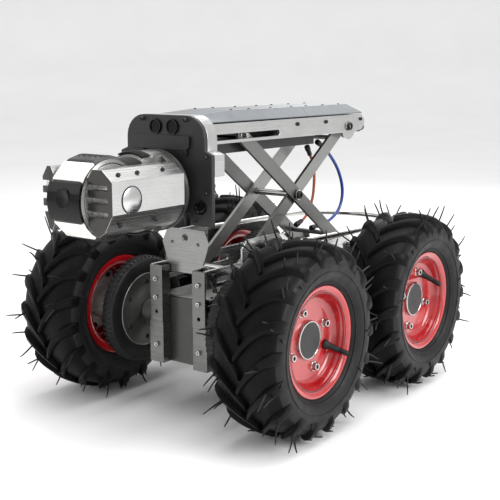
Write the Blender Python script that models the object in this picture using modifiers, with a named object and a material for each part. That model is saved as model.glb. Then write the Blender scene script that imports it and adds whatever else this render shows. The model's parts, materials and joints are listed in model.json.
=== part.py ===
"""Four wheel inspection crawler: wheeled chassis, scissor lift, platform and camera head.

Metres, +Z up. The front faces -Y and the left side is +X. The origin is on the floor,
under the middle of the whole length; the wheelbase's middle is WHEELBASE_SHIFT behind it.
Run with: blender --background --python part.py
"""
import math

import bmesh
import bpy
from mathutils import Matrix, Vector

# ---------------------------------------------------------------- driving dimensions
GAP = 0.0003                    # clearance between two touching pieces
WHEELBASE_SHIFT = 0.0255        # every Y below is counted from the wheelbase's middle

# wheels: a 13 x 5.00-6 pneumatic tyre on a 6 inch rim
TYRE_RADIUS = 0.165
TYRE_HALF_WIDTH = 0.0635
RIM_RADIUS = 0.0922
RIM_HALF_WIDTH = 0.050
BEAD_RADIUS = 0.0785
WHEEL_MID_X = 0.219
HALF_WHEELBASE = 0.1805
WHEEL_STEPS = 24                # sides of a turned wheel part
DRIVE_WHEEL_RADIUS = 0.097
DRIVE_WHEEL_X = (0.1055, 0.1300)
HUB_FLANGE_RADIUS = 0.060
HUB_CAP_RADIUS = 0.032
DISH_FACE = 0.0235              # dish face, outward from the tyre's middle
DISH_BACK = 0.0175
BARREL_BORE = BEAD_RADIUS - 0.004

# scissor lift
PIVOT_Y = 0.235                 # both rear pivots
LOWER_Z = 0.241                 # lower pivots and sliders
UPPER_Z = 0.483                 # upper pivots and sliders
SLIDER_Y = -0.105               # both front sliders at rest
LINK_WIDTH = 0.026
LINK_THICK = 0.006
OUTER_LINK_X = 0.0515           # middle of the outer links
INNER_LINK_X = 0.0445           # middle of the inner links
PIN_RADIUS = 0.006
PIN_HOLE_RADIUS = 0.0068
SLIDER_RADIUS = 0.004           # where the slider shafts run in their slots
SLOT_HALF_HEIGHT = 0.005
SHAFT_HALF_LENGTH = 0.066

# side plates and rails
PLATE_INNER_X = 0.056
PLATE_THICK = 0.006
PLATE_MID_X = PLATE_INNER_X + PLATE_THICK / 2
SLOT_FRONT_Y = -0.189
SLOT_REAR_Y = -0.004
RAIL_TOP = 0.261
RAIL_BOTTOM = 0.229
SIDE_TOP = 0.506
SIDE_BOTTOM = 0.472

# chassis box
BOX_HALF_WIDTH = 0.0555
BOX_FRONT = -0.200
BOX_REAR = 0.2500
BOX_BOTTOM = 0.085
BOX_TOP = 0.203
BOX_WALL = 0.004
LID_THICK = 0.004
AXLE_RADIUS = 0.019             # axle tubes, right across the box
AXLE_END_X = 0.1045

# front posts, each with a foot
POST_X = (0.034, 0.062)
POST_FRONT = -0.2215
POST_Z = (0.160, 0.260)
POST_THICK = 0.0035
FOOT_X = (0.034, 0.065)
FOOT_Z = (0.085, 0.1610)

# front plate and bulkhead
FRONT_Y = -0.2466
FRONT_THICK = 0.008
BULKHEAD_REAR = -0.2135
BULKHEAD_BOTTOM = 0.425
FRONT_SHOULDER = 0.466
PORT_RADIUS = 0.012
LAMP_RADIUS = 0.0115

# top covers
COVER_CREST_X = 0.045
COVER_EDGE_X = 0.0618
COVER_TOP = 0.5265
COVER_FRONT_TOP = 0.5215
COVER_SPLIT_Y = 0.088
COVER_THICK = 0.0025

# camera head
HEAD_Z = 0.400
TILT_Y = -0.402
ARM_X = {"left": (0.0295, 0.079), "right": (-0.0445, -0.0700)}     # inner and outer faces
ARM_FRONT = -0.451
ARM_REAR = -0.290
BASE_FRONT = -0.334
DRUM_RADIUS = 0.066
DRUM_X = (-0.0435, 0.0285)
TRUNNION_RADIUS = 0.012
TRUNNION_REACH = 0.015

# tail hoop
HOOP_RADIUS = 0.0055
HOOP_HALF_WIDTH = 0.120
HOOP_FRONT_Z = 0.2925
HOOP_REAR_Z = 0.2790
HOOP_STRAIGHT_Y = 0.300
HOOP_END_Y = 0.408

SIDES = (("left", 1), ("right", -1))
ENDS = (("front", -1), ("rear", 1))

for old in list(bpy.data.objects):
    bpy.data.objects.remove(old, do_unlink=True)

PARTS = bpy.data.collections.new("four_wheel_crawler")
CUTTERS = bpy.data.collections.new("cutters")
bpy.context.scene.collection.children.link(PARTS)
bpy.context.scene.collection.children.link(CUTTERS)


# ---------------------------------------------------------------- materials
def make_material(name, colour, roughness, metallic):
    material = bpy.data.materials.new(name)
    material.use_nodes = True
    shader = material.node_tree.nodes["Principled BSDF"]
    shader.inputs["Base Color"].default_value = (*colour, 1.0)
    shader.inputs["Roughness"].default_value = roughness
    shader.inputs["Metallic"].default_value = metallic
    return material


RUBBER = make_material("tyre_rubber", (0.022, 0.022, 0.023), 0.60, 0.0)
RED_ENAMEL = make_material("red_enamel", (0.42, 0.006, 0.010), 0.22, 0.0)
DARK_GREY = make_material("dark_anodised", (0.060, 0.060, 0.062), 0.40, 0.6)
BRIGHT_ALLOY = make_material("bright_alloy", (0.80, 0.80, 0.78), 0.25, 1.0)
GREY_ALLOY = make_material("grey_alloy", (0.38, 0.38, 0.37), 0.38, 1.0)
COVER_ALLOY = make_material("cover_alloy", (0.50, 0.52, 0.54), 0.34, 1.0)
STEEL = make_material("polished_steel", (0.72, 0.71, 0.69), 0.12, 1.0)
BLACK_PLASTIC = make_material("black_plastic", (0.015, 0.015, 0.016), 0.45, 0.0)
BLACK_GLASS = make_material("black_glass", (0.004, 0.004, 0.005), 0.05, 0.0)
WHITE_LAMP = make_material("lamp_diffuser", (0.88, 0.88, 0.86), 0.35, 0.0)
BLUE_HOSE = make_material("blue_hose", (0.006, 0.045, 0.30), 0.35, 0.0)
ORANGE_CABLE = make_material("orange_cable", (0.45, 0.10, 0.03), 0.45, 0.0)


# ---------------------------------------------------------------- building helpers
def place(obj, material=None):
    """Link an object among the parts, or among the cutters when it has no material."""
    for home in list(obj.users_collection):
        home.objects.unlink(obj)
    if material is None:
        CUTTERS.objects.link(obj)
        obj.hide_render = True
        obj.display_type = 'WIRE'
    else:
        PARTS.objects.link(obj)
        obj.data.materials.append(material)
    return obj


def block(name, low, high, material=None, bevel=0.0):
    """A box between two corners, with optional rounded edges."""
    centre = [(a + b) / 2 for a, b in zip(low, high)]
    size = [abs(b - a) for a, b in zip(low, high)]
    mesh = bpy.data.meshes.new(name)
    cage = bmesh.new()
    bmesh.ops.create_cube(cage, size=1.0)
    bmesh.ops.scale(cage, vec=size, verts=cage.verts)
    cage.to_mesh(mesh)
    cage.free()
    obj = place(bpy.data.objects.new(name, mesh), material)
    obj.location = centre
    if bevel:
        rounding = obj.modifiers.new("rounding", 'BEVEL')
        rounding.width = bevel
        rounding.segments = 2
    return obj


def along(axis):
    """The rotation that turns local +Z into a world axis."""
    return Vector((0, 0, 1)).rotation_difference(Vector(axis)).to_matrix().to_4x4()


def rod(name, start, end, radius, material=None, sides=16):
    """A round bar between two points."""
    start, end = Vector(start), Vector(end)
    mesh = bpy.data.meshes.new(name)
    cage = bmesh.new()
    bmesh.ops.create_cone(cage, cap_ends=True, segments=sides, radius1=radius,
                          radius2=radius, depth=(end - start).length)
    cage.to_mesh(mesh)
    cage.free()
    obj = place(bpy.data.objects.new(name, mesh), material)
    obj.matrix_world = Matrix.Translation((start + end) / 2) @ along(end - start)
    if material is not None:
        smooth(obj)
    return obj


def smooth(obj, angle=35):
    obj.data.shade_smooth()
    obj.data.set_sharp_from_angle(angle=math.radians(angle))


def turned(name, profile, centre, axis, material=None, steps=24, closed=True):
    """A profile of (radius, height) points, top to bottom, turned about an axis."""
    mesh = bpy.data.meshes.new(name)
    cage = bmesh.new()
    points = [cage.verts.new((radius, 0, height)) for radius, height in profile]
    for first, second in zip(points, points[1:]):
        cage.edges.new((first, second))
    if closed:
        cage.edges.new((points[-1], points[0]))
    cage.to_mesh(mesh)
    cage.free()
    obj = place(bpy.data.objects.new(name, mesh), material)
    half_step = Matrix.Rotation(math.pi / steps, 4, 'Z')
    obj.matrix_world = Matrix.Translation(centre) @ along(axis) @ half_step
    screw = obj.modifiers.new("turn", 'SCREW')
    screw.steps = steps
    screw.render_steps = steps
    screw.use_merge_vertices = True
    screw.merge_threshold = 0.00005
    return obj


def flat_plate(name, outline, thickness, material, matrix):
    """A flat outline, extruded evenly about its plane, as a closed mesh."""
    curve = bpy.data.curves.new(name + "_outline", 'CURVE')
    curve.dimensions = '2D'
    curve.fill_mode = 'BOTH'
    curve.extrude = thickness / 2
    spline = curve.splines.new('POLY')
    spline.points.add(len(outline) - 1)
    for point, (x, y) in zip(spline.points, outline):
        point.co = (x, y, 0, 1)
    spline.use_cyclic_u = True
    return curve_to_mesh(name, curve, material, matrix)


def curve_to_mesh(name, curve, material, matrix):
    """Turn a curve into a closed mesh object, which can be cut."""
    guide = bpy.data.objects.new(name + "_curve", curve)
    CUTTERS.objects.link(guide)
    guide.matrix_world = matrix
    bpy.context.view_layer.update()
    depsgraph = bpy.context.evaluated_depsgraph_get()
    mesh = bpy.data.meshes.new_from_object(guide.evaluated_get(depsgraph))
    cage = bmesh.new()
    cage.from_mesh(mesh)
    bmesh.ops.remove_doubles(cage, verts=cage.verts, dist=0.00001)
    bmesh.ops.recalc_face_normals(cage, faces=cage.faces)
    cage.to_mesh(mesh)
    cage.free()
    mesh.materials.clear()
    mesh.name = name
    obj = place(bpy.data.objects.new(name, mesh), material)
    obj.matrix_world = matrix
    bpy.data.objects.remove(guide, do_unlink=True)
    return obj


def tube(name, points, radius, material, resolution=2):
    """A round tube through points, as a poly curve with filled caps."""
    curve = bpy.data.curves.new(name, 'CURVE')
    curve.dimensions = '3D'
    curve.bevel_depth = radius
    curve.bevel_resolution = resolution
    curve.render_resolution_u = 0
    curve.use_fill_caps = True
    spline = curve.splines.new('POLY')
    spline.points.add(len(points) - 1)
    for point, place_ in zip(spline.points, points):
        point.co = (*place_, 1)
    obj = bpy.data.objects.new(name, curve)
    return place(obj, material)


def boolean(obj, tool, operation='DIFFERENCE'):
    change = obj.modifiers.new(tool.name, 'BOOLEAN')
    change.operation = operation
    change.solver = 'EXACT'
    change.object = tool
    return obj


def cut_round(obj, start, end, radius, sides=16):
    tool = rod(f"{obj.name}_hole_{len(obj.modifiers)}", start, end, radius, sides=sides)
    return boolean(obj, tool)


def arc(centre, radius, first, last, count):
    """Points on an arc, with angles in degrees."""
    angles = [math.radians(first + (last - first) * i / (count - 1)) for i in range(count)]
    return [(centre[0] + radius * math.cos(a), centre[1] + radius * math.sin(a))
            for a in angles]


def smooth_route(knots, pieces):
    """Points on a Catmull-Rom curve through the knots."""
    ends = [2 * Vector(knots[0]) - Vector(knots[1])]
    ends += [Vector(k) for k in knots]
    ends.append(2 * Vector(knots[-1]) - Vector(knots[-2]))
    route = []
    for a, b, c, d in zip(ends, ends[1:], ends[2:], ends[3:]):
        for i in range(pieces):
            t = i / pieces
            route.append(0.5 * (2 * b + (c - a) * t + (2 * a - 5 * b + 4 * c - d) * t ** 2
                                + (3 * b - a - 3 * c + d) * t ** 3))
    route.append(Vector(knots[-1]))
    return route


def side_matrix(x):
    """Local X runs along world Y, local Y along world Z, at a given world X."""
    return Matrix(((0, 0, 1, x), (1, 0, 0, 0), (0, 1, 0, 0), (0, 0, 0, 1)))


def front_matrix(y):
    """Local X runs along world X, local Y along world Z, at a given world Y."""
    return Matrix(((1, 0, 0, 0), (0, 0, -1, y), (0, 1, 0, 0), (0, 0, 0, 1)))


# ---------------------------------------------------------------- wheels
def tyre_profile():
    """Closed C section: outer face down, then the inner face back up."""
    flat = TYRE_RADIUS / math.cos(math.pi / WHEEL_STEPS)
    bead = BEAD_RADIUS + 0.0008
    half = TYRE_HALF_WIDTH
    outer = [(bead, 0.0463), (0.0935, 0.0463), (0.104, half - 0.0045), (0.126, half),
             (0.153, half - 0.0045), (flat, half - 0.0235)]
    inner = [(bead, 0.0340), (0.112, 0.0460), (0.149, 0.0430)]
    lower = [(radius, -height) for radius, height in reversed(outer)]
    back = [(radius, -height) for radius, height in inner]
    return outer + lower + back + list(reversed(inner))


def barrel_profile():
    """Closed section of the rim's barrel: flanges, bead seats and bore."""
    edge, half, seat = RIM_RADIUS, RIM_HALF_WIDTH, BEAD_RADIUS
    return [(edge, half), (edge, half - 0.0032), (seat, half - 0.0036),
            (seat, 0.0036 - half), (edge, 0.0032 - half), (edge, -half),
            (BARREL_BORE, 0.006 - half), (BARREL_BORE, 0.030), (seat + 0.006, half)]


def make_wheel(end, side, along_y, sign):
    suffix = f"{end}_{side}"
    axle = (0, HALF_WHEELBASE * along_y, TYRE_RADIUS)
    centre = (WHEEL_MID_X * sign, axle[1], axle[2])
    outward = (sign, 0, 0)
    turned(f"tyre_{suffix}", tyre_profile(), centre, outward, RUBBER, WHEEL_STEPS)
    turned(f"rim_barrel_{suffix}", barrel_profile(), centre, outward, RED_ENAMEL, WHEEL_STEPS)
    cap_face = DISH_FACE + 0.0058
    dish = [(0, cap_face), (HUB_CAP_RADIUS - 0.002, cap_face),
            (HUB_CAP_RADIUS, cap_face - 0.0018), (HUB_CAP_RADIUS, DISH_FACE),
            (BARREL_BORE - GAP, DISH_FACE), (BARREL_BORE - GAP, DISH_BACK), (0, DISH_BACK)]
    turned(f"rim_dish_{suffix}", dish, centre, outward, RED_ENAMEL, WHEEL_STEPS, closed=False)
    inner, outer = DRIVE_WHEEL_X
    back = WHEEL_MID_X + DISH_BACK - GAP
    hub = [(0, back), (HUB_FLANGE_RADIUS, back), (HUB_FLANGE_RADIUS, back - 0.008),
           (0.032, back - 0.012), (0.032, outer + 0.006), (DRIVE_WHEEL_RADIUS - 0.022, outer),
           (DRIVE_WHEEL_RADIUS - 0.003, outer), (DRIVE_WHEEL_RADIUS, outer - 0.003),
           (DRIVE_WHEEL_RADIUS, inner + 0.003), (DRIVE_WHEEL_RADIUS - 0.003, inner), (0, inner)]
    turned(f"drive_wheel_{suffix}", hub, axle, outward, BLACK_PLASTIC, 20, closed=False)


# ---------------------------------------------------------------- chassis
def make_chassis_box():
    box = block("chassis_box", (-BOX_HALF_WIDTH, BOX_FRONT, BOX_BOTTOM),
                (BOX_HALF_WIDTH, BOX_REAR, BOX_TOP), GREY_ALLOY)
    pocket = block("box_pocket", (BOX_WALL - BOX_HALF_WIDTH, BOX_FRONT + BOX_WALL,
                                  BOX_BOTTOM + BOX_WALL),
                   (BOX_HALF_WIDTH - BOX_WALL, BOX_REAR - BOX_WALL, BOX_TOP + 0.01))
    boolean(box, pocket)
    for end, along_y in ENDS:
        y = HALF_WHEELBASE * along_y
        ends = (-AXLE_END_X, y, TYRE_RADIUS), (AXLE_END_X, y, TYRE_RADIUS)
        cut_round(box, *ends, AXLE_RADIUS + 0.0004, 20)
        rod(f"axle_tube_{end}", *ends, AXLE_RADIUS, GREY_ALLOY, 20)
    block("chassis_lid", (-BOX_HALF_WIDTH, BOX_FRONT, BOX_TOP + GAP),
          (BOX_HALF_WIDTH, BOX_REAR, BOX_TOP + GAP + LID_THICK), GREY_ALLOY, bevel=0.001)


def rail_outline():
    """Lower rail, with a rear tab down the box side and a lobe round the pivot."""
    lobe = arc((PIVOT_Y, LOWER_Z), 0.020, 0, 90, 5)
    return [(-0.2178, RAIL_BOTTOM), (0.188, RAIL_BOTTOM), (0.204, 0.188), (0.250, 0.188),
            (PIVOT_Y + 0.020, 0.205)] + lobe + [(-0.2178, RAIL_TOP)]


def make_rails():
    for side, sign in SIDES:
        x = sign * PLATE_MID_X
        rail = flat_plate(f"lower_rail_{side}", rail_outline(), PLATE_THICK, BRIGHT_ALLOY,
                          side_matrix(x))
        cut_slot(rail, x, LOWER_Z)
        cut_round(rail, (x - 0.01, PIVOT_Y, LOWER_Z), (x + 0.01, PIVOT_Y, LOWER_Z),
                  PIN_HOLE_RADIUS)
        rod(f"lower_pivot_pin_{side}", (sign * 0.040, PIVOT_Y, LOWER_Z),
            (sign * SHAFT_HALF_LENGTH, PIVOT_Y, LOWER_Z), PIN_RADIUS, STEEL)


def cut_slot(plate, x, z):
    """A round-ended slot for a slider shaft."""
    half = SLOT_HALF_HEIGHT
    outline = arc((SLOT_REAR_Y - half, z), half, -90, 90, 7)
    outline += arc((SLOT_FRONT_Y + half, z), half, 90, 270, 7)
    tool = flat_plate(f"{plate.name}_slot", outline, PLATE_THICK + 0.01, None, side_matrix(x))
    boolean(plate, tool)


def make_front_posts():
    for side, sign in SIDES:
        inner, outer = POST_X
        low, high = POST_Z
        back = BOX_FRONT - GAP
        outline = [(inner, POST_FRONT), (outer, POST_FRONT), (outer, POST_FRONT + POST_THICK),
                   (inner + POST_THICK, POST_FRONT + POST_THICK), (inner + POST_THICK, back),
                   (inner, back)]
        outline = [(sign * x, y) for x, y in outline]
        post = flat_plate(f"front_post_{side}", outline, high - low, GREY_ALLOY,
                          Matrix.Translation((0, 0, (low + high) / 2)))
        x = sign * 0.048
        cut_round(post, (x, POST_FRONT - 0.01, 0.177), (x, POST_FRONT + 0.01, 0.177), 0.0035, 12)
        foot_inner, foot_outer = FOOT_X
        foot = block(f"front_foot_{side}", (sign * foot_inner, POST_FRONT + 0.001, FOOT_Z[0]),
                     (sign * foot_outer, back, FOOT_Z[1]))
        boolean(post, foot, 'UNION')


def make_hex_bracket():
    """Six-sided bracket between the rails' front ends, with three holes."""
    half = [(0.0555, 0.248), (0.0555, 0.259), (0.0400, 0.266), (0.0520, 0.300), (0.0400, 0.3245)]
    outline = half + [(-x, z) for x, z in reversed(half)]
    y = -0.1965
    bracket = flat_plate("hex_bracket", outline, 0.004, BRIGHT_ALLOY, front_matrix(y))
    for x, z, radius in ((0, 0.310, 0.0065), (-0.029, 0.300, 0.0035), (0.029, 0.300, 0.0035)):
        cut_round(bracket, (x, y - 0.01, z), (x, y + 0.01, z), radius, 14)


def make_rear_bracket():
    """Cross plate between the rails behind the pivots, notched for the hoses."""
    outline = [(-0.0555, 0.2076), (0.0555, 0.2076), (0.0555, 0.258), (0.041, 0.258),
               (0.036, 0.214), (-0.036, 0.214), (-0.041, 0.258), (-0.0555, 0.258)]
    flat_plate("rear_bracket", outline, 0.004, GREY_ALLOY, front_matrix(0.2518))


def make_side_brackets():
    """Bent plates that carry the hoop's front ends."""
    for side, sign in SIDES:
        section = [(0.0625, 0.246), (0.089, 0.246), (0.089, 0.307), (0.085, 0.307),
                   (0.085, 0.250), (0.0625, 0.250)]
        section = [(sign * x, z) for x, z in section]
        front, rear = -0.152, -0.032
        bracket = flat_plate(f"side_bracket_{side}", section, rear - front, BRIGHT_ALLOY,
                             front_matrix((front + rear) / 2))
        for name, y, turn in (("front", front, 45), ("rear", rear, 45)):
            tool = block(f"bracket_corner_{name}_{side}", (-0.012, -0.009, -0.009),
                         (0.012, 0.009, 0.009))
            tool.matrix_world = (Matrix.Translation((sign * 0.087, y, 0.307))
                                 @ Matrix.Rotation(math.radians(turn), 4, 'X'))
            boolean(bracket, tool)
        cut_round(bracket, (sign * 0.08, -0.125, 0.280), (sign * 0.095, -0.125, 0.280), 0.004, 12)


def make_tail_hoop():
    """A bent tube: out from the left bracket, back, round the tail and forward again."""
    start_y = -0.094
    reach = HOOP_END_Y - HOOP_STRAIGHT_Y
    half = [(0.0895, start_y, HOOP_FRONT_Z), (0.104, start_y, HOOP_FRONT_Z)]
    corner = 0.016
    for angle in (-60, -30, 0):
        turn = math.radians(angle)
        half.append((HOOP_HALF_WIDTH - corner + corner * math.cos(turn),
                     start_y + corner + corner * math.sin(turn), HOOP_FRONT_Z))
    half.append((HOOP_HALF_WIDTH, 0.10, (HOOP_FRONT_Z + HOOP_REAR_Z) / 2 + 0.0005))
    for step in range(7):
        turn = math.pi / 2 * step / 6
        half.append((HOOP_HALF_WIDTH * math.cos(turn), HOOP_STRAIGHT_Y + reach * math.sin(turn),
                     HOOP_REAR_Z))
    other = [(-x, y, z) for x, y, z in reversed(half[:-1])]
    tube("tail_hoop", half + other, HOOP_RADIUS, STEEL, resolution=2)


def make_lift_motor():
    """Gear motor across the chassis, between the rails."""
    y, z, radius = 0.120, 0.2345, 0.026
    profile = [(0, 0.037), (0.018, 0.037), (0.018, 0.033), (radius, 0.033), (radius, -0.030),
               (0.020, -0.037), (0, -0.037)]
    turned("lift_motor", profile, (0, y, z), (1, 0, 0), BLACK_PLASTIC, 20, closed=False)


# ---------------------------------------------------------------- scissor arms
def make_link(name, x, rear, front, material):
    """A flat bar with round ends, from its rear joint to its front joint."""
    run = Vector((0, front[0] - rear[0], front[1] - rear[1]))
    length = run.length
    slope = math.degrees(math.atan2(run.z, run.y))
    outline = arc((0, 0), LINK_WIDTH / 2, 90, 270, 9)
    outline += arc((length, 0), LINK_WIDTH / 2, -90, 90, 9)
    matrix = (Matrix.Translation((x, rear[0], rear[1]))
              @ Matrix.Rotation(math.radians(slope), 4, 'X') @ side_matrix(0))
    link = flat_plate(name, outline, LINK_THICK, material, matrix)
    for share in (0, 0.5, 1):
        y, z = rear[0] + run.y * share, rear[1] + run.z * share
        cut_round(link, (x - 0.01, y, z), (x + 0.01, y, z), PIN_HOLE_RADIUS)


def slider_shaft(name, z):
    """Cross shaft with thin ends that run in the slots."""
    step = PLATE_INNER_X - 0.0008
    profile = [(0, SHAFT_HALF_LENGTH), (SLIDER_RADIUS, SHAFT_HALF_LENGTH), (SLIDER_RADIUS, step),
               (PIN_RADIUS, step), (PIN_RADIUS, -step), (SLIDER_RADIUS, -step),
               (SLIDER_RADIUS, -SHAFT_HALF_LENGTH), (0, -SHAFT_HALF_LENGTH)]
    turned(name, profile, (0, SLIDER_Y, z), (1, 0, 0), STEEL, 16, closed=False)


def make_scissor():
    for side, sign in SIDES:
        make_link(f"outer_link_{side}", sign * OUTER_LINK_X, (PIVOT_Y, LOWER_Z),
                  (SLIDER_Y, UPPER_Z), GREY_ALLOY)
        make_link(f"inner_link_{side}", sign * INNER_LINK_X, (PIVOT_Y, UPPER_Z),
                  (SLIDER_Y, LOWER_Z), GREY_ALLOY)
    slider_shaft("upper_slider_shaft", UPPER_Z)
    slider_shaft("lower_slider_shaft", LOWER_Z)
    y, z = (PIVOT_Y + SLIDER_Y) / 2, (LOWER_Z + UPPER_Z) / 2
    rod("centre_shaft", (-0.0575, y, z), (0.0575, y, z), PIN_RADIUS, STEEL)


def make_hoses():
    """Hoses that loop between the inner links and the outer links."""
    blue = [(0.010, 0.214, 0.444), (0.010, 0.232, 0.434), (0.010, 0.255, 0.416),
            (0.010, 0.280, 0.390), (0.010, 0.297, 0.358), (0.010, 0.299, 0.330),
            (0.010, 0.286, 0.305), (0.010, 0.258, 0.289), (0.010, 0.226, 0.282),
            (0.010, 0.198, 0.280)]
    tube("blue_hose", smooth_route(blue, 2), 0.0032, BLUE_HOSE)
    orange = [(-0.012, 0.205, 0.428), (-0.012, 0.217, 0.410), (-0.012, 0.224, 0.388),
              (-0.012, 0.224, 0.362), (-0.012, 0.219, 0.335), (-0.012, 0.206, 0.310),
              (-0.012, 0.186, 0.294), (-0.012, 0.160, 0.286)]
    tube("orange_cable", smooth_route(orange, 2), 0.0028, ORANGE_CABLE)


# ---------------------------------------------------------------- platform
def front_outline(bottom):
    """Half outline of the front plate and the bulkhead, from the top down."""
    shoulder = arc((0.047, 0.484), 0.038, 0, 90, 7)
    right = list(reversed(shoulder)) + [(0.085, FRONT_SHOULDER), (0.0998, FRONT_SHOULDER - 0.006)]
    return right + [(0.0998, bottom)]


def make_front_plate():
    leg_low = 0.343
    half = front_outline(leg_low) + [(0.0527, leg_low), (0.0527, 0.362)]
    outline = half + [(-x, z) for x, z in reversed(half)]
    middle = FRONT_Y + FRONT_THICK / 2
    plate = flat_plate("front_plate", outline, FRONT_THICK, DARK_GREY, front_matrix(middle))
    for side, sign in SIDES:
        x, z = sign * 0.0185, 0.503
        cut_round(plate, (x, FRONT_Y - 0.01, z), (x, FRONT_Y + 0.003, z), PORT_RADIUS, 18)
        x, z = sign * 0.0763, 0.374
        cut_round(plate, (x, FRONT_Y - 0.01, z), (x, FRONT_Y + 0.004, z), LAMP_RADIUS, 18)


def make_bulkhead():
    half = front_outline(BULKHEAD_BOTTOM)
    outline = half + [(-x, z) for x, z in reversed(half)]
    front = FRONT_Y + FRONT_THICK + GAP
    middle = (front + BULKHEAD_REAR) / 2
    bulkhead = flat_plate("bulkhead", outline, BULKHEAD_REAR - front, BRIGHT_ALLOY,
                          front_matrix(middle))
    wall = 0.006
    lower = block("bulkhead_pocket", (-0.0998 + wall, front + wall, BULKHEAD_BOTTOM + wall),
                  (0.0998 - wall, BULKHEAD_REAR + 0.01, FRONT_SHOULDER - 0.006 - wall))
    upper = block("bulkhead_upper_pocket", (-0.042, front + wall, FRONT_SHOULDER - wall),
                  (0.042, BULKHEAD_REAR + 0.01, 0.512))
    boolean(bulkhead, lower)
    boolean(bulkhead, upper)


def side_outline():
    """Platform side plate, with a lobe below the rear pivot."""
    start = BULKHEAD_REAR + GAP
    lobe = arc((PIVOT_Y, UPPER_Z), 0.027, 205, 335, 7)
    return ([(start, SIDE_TOP), (start, SIDE_BOTTOM + 0.012), (-0.190, SIDE_BOTTOM)] + lobe
            + [(0.286, 0.475), (0.296, 0.484), (0.296, 0.496), (0.284, SIDE_TOP)])


def make_side_plates():
    for side, sign in SIDES:
        x = sign * PLATE_MID_X
        plate = flat_plate(f"side_plate_{side}", side_outline(), PLATE_THICK, BRIGHT_ALLOY,
                           side_matrix(x))
        cut_slot(plate, x, UPPER_Z)
        cut_round(plate, (x - 0.01, PIVOT_Y, UPPER_Z), (x + 0.01, PIVOT_Y, UPPER_Z),
                  PIN_HOLE_RADIUS)
        rod(f"upper_pivot_pin_{side}", (sign * 0.040, PIVOT_Y, UPPER_Z),
            (sign * SHAFT_HALF_LENGTH, PIVOT_Y, UPPER_Z), PIN_RADIUS, STEEL)


def cover_shell(name, stations):
    """An open folded sheet through (y, crest height, edge height) stations, then solidified."""
    mesh = bpy.data.meshes.new(name)
    cage = bmesh.new()
    rows = []
    for y, crest, edge in stations:
        section = [(-COVER_EDGE_X, edge), (-COVER_CREST_X, crest), (COVER_CREST_X, crest),
                   (COVER_EDGE_X, edge)]
        rows.append([cage.verts.new((x, y, z)) for x, z in section])
    for first, second in zip(rows, rows[1:]):
        for i in range(3):
            cage.faces.new((first[i], first[i + 1], second[i + 1], second[i]))
    cage.to_mesh(mesh)
    cage.free()
    cover = place(bpy.data.objects.new(name, mesh), COVER_ALLOY)
    shell = cover.modifiers.new("sheet", 'SOLIDIFY')
    shell.thickness = COVER_THICK
    shell.offset = -1
    return cover


def make_covers():
    edge = SIDE_TOP + 0.0030
    front = BULKHEAD_REAR + GAP
    cover_shell("top_cover", [(front, COVER_FRONT_TOP, edge), (-0.130, COVER_TOP, edge),
                              (COVER_SPLIT_Y - GAP, COVER_TOP, edge)])
    cover_shell("rear_cover", [(COVER_SPLIT_Y + GAP, COVER_TOP, edge),
                               (0.252, COVER_TOP, edge), (0.288, 0.5145, edge)])


def make_tray():
    """Housing under the cover, with a shallow part that passes under the slider shaft."""
    outline = [(-0.165, 0.4525), (0.145, 0.4525), (0.145, 0.5225), (0.012, 0.5225),
               (0.012, 0.4735), (-0.165, 0.4735)]
    flat_plate("platform_tray", outline, 0.076, DARK_GREY, side_matrix(0))


def make_rear_glands():
    """End plate between the side plates, with two rubber glands at each side."""
    plate = block("rear_gland_plate", (-0.0557, 0.284, 0.4700), (0.0557, 0.290, 0.5045),
                  BLACK_PLASTIC)
    for side, sign in SIDES:
        for level, z in (("upper", 0.4930), ("lower", 0.4782)):
            stub = rod(f"gland_{level}_{side}", (sign * 0.046, 0.287, z),
                       (sign * 0.046, 0.313, z), 0.0062, sides=12)
            boolean(plate, stub, 'UNION')


# ---------------------------------------------------------------- camera head
def make_head_base():
    neck = [(0, 0.0130), (0.030, 0.0130), (0.034, 0.0100), (0.034, 0.0062), (0.050, 0.0062),
            (0.050, 0), (0, 0)]
    turned("head_neck", neck, (0, FRONT_Y - GAP, HEAD_Z), (0, -1, 0), DARK_GREY, 24,
           closed=False)
    rear = FRONT_Y - GAP - 0.0130 - GAP
    depth = rear - BASE_FRONT
    profile = [(0, depth), (0.060, depth), (0.0645, depth - 0.004), (0.0645, depth - 0.024),
               (0.0672, depth - 0.026), (0.0672, 0.004), (0.064, 0), (0, 0)]
    base = turned("fork_base", profile, (0, rear, HEAD_Z), (0, -1, 0), GREY_ALLOY, 32,
                  closed=False)
    for side, (inner, outer) in ARM_X.items():
        sign = 1 if outer > 0 else -1
        near, far = sorted((inner - GAP * sign, 0.1 * sign))
        boolean(base, block(f"fork_base_{side}_cheek", (near, BASE_FRONT - 0.01, HEAD_Z - 0.1),
                            (far, ARM_REAR + GAP, HEAD_Z + 0.1)))


def arm_section(inner, outer):
    """Section of a fork arm, its inner and outer corners cut off, heights from the tilt axis."""
    sign = 1 if outer > 0 else -1
    return [(inner, -0.036), (inner + 0.012 * sign, -0.050), (outer - 0.029 * sign, -0.050),
            (outer - 0.017 * sign, -0.043), (outer, -0.0155), (outer, 0.034),
            (outer - 0.020 * sign, 0.0505), (inner + 0.009 * sign, 0.0505), (inner, 0.038)]


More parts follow.
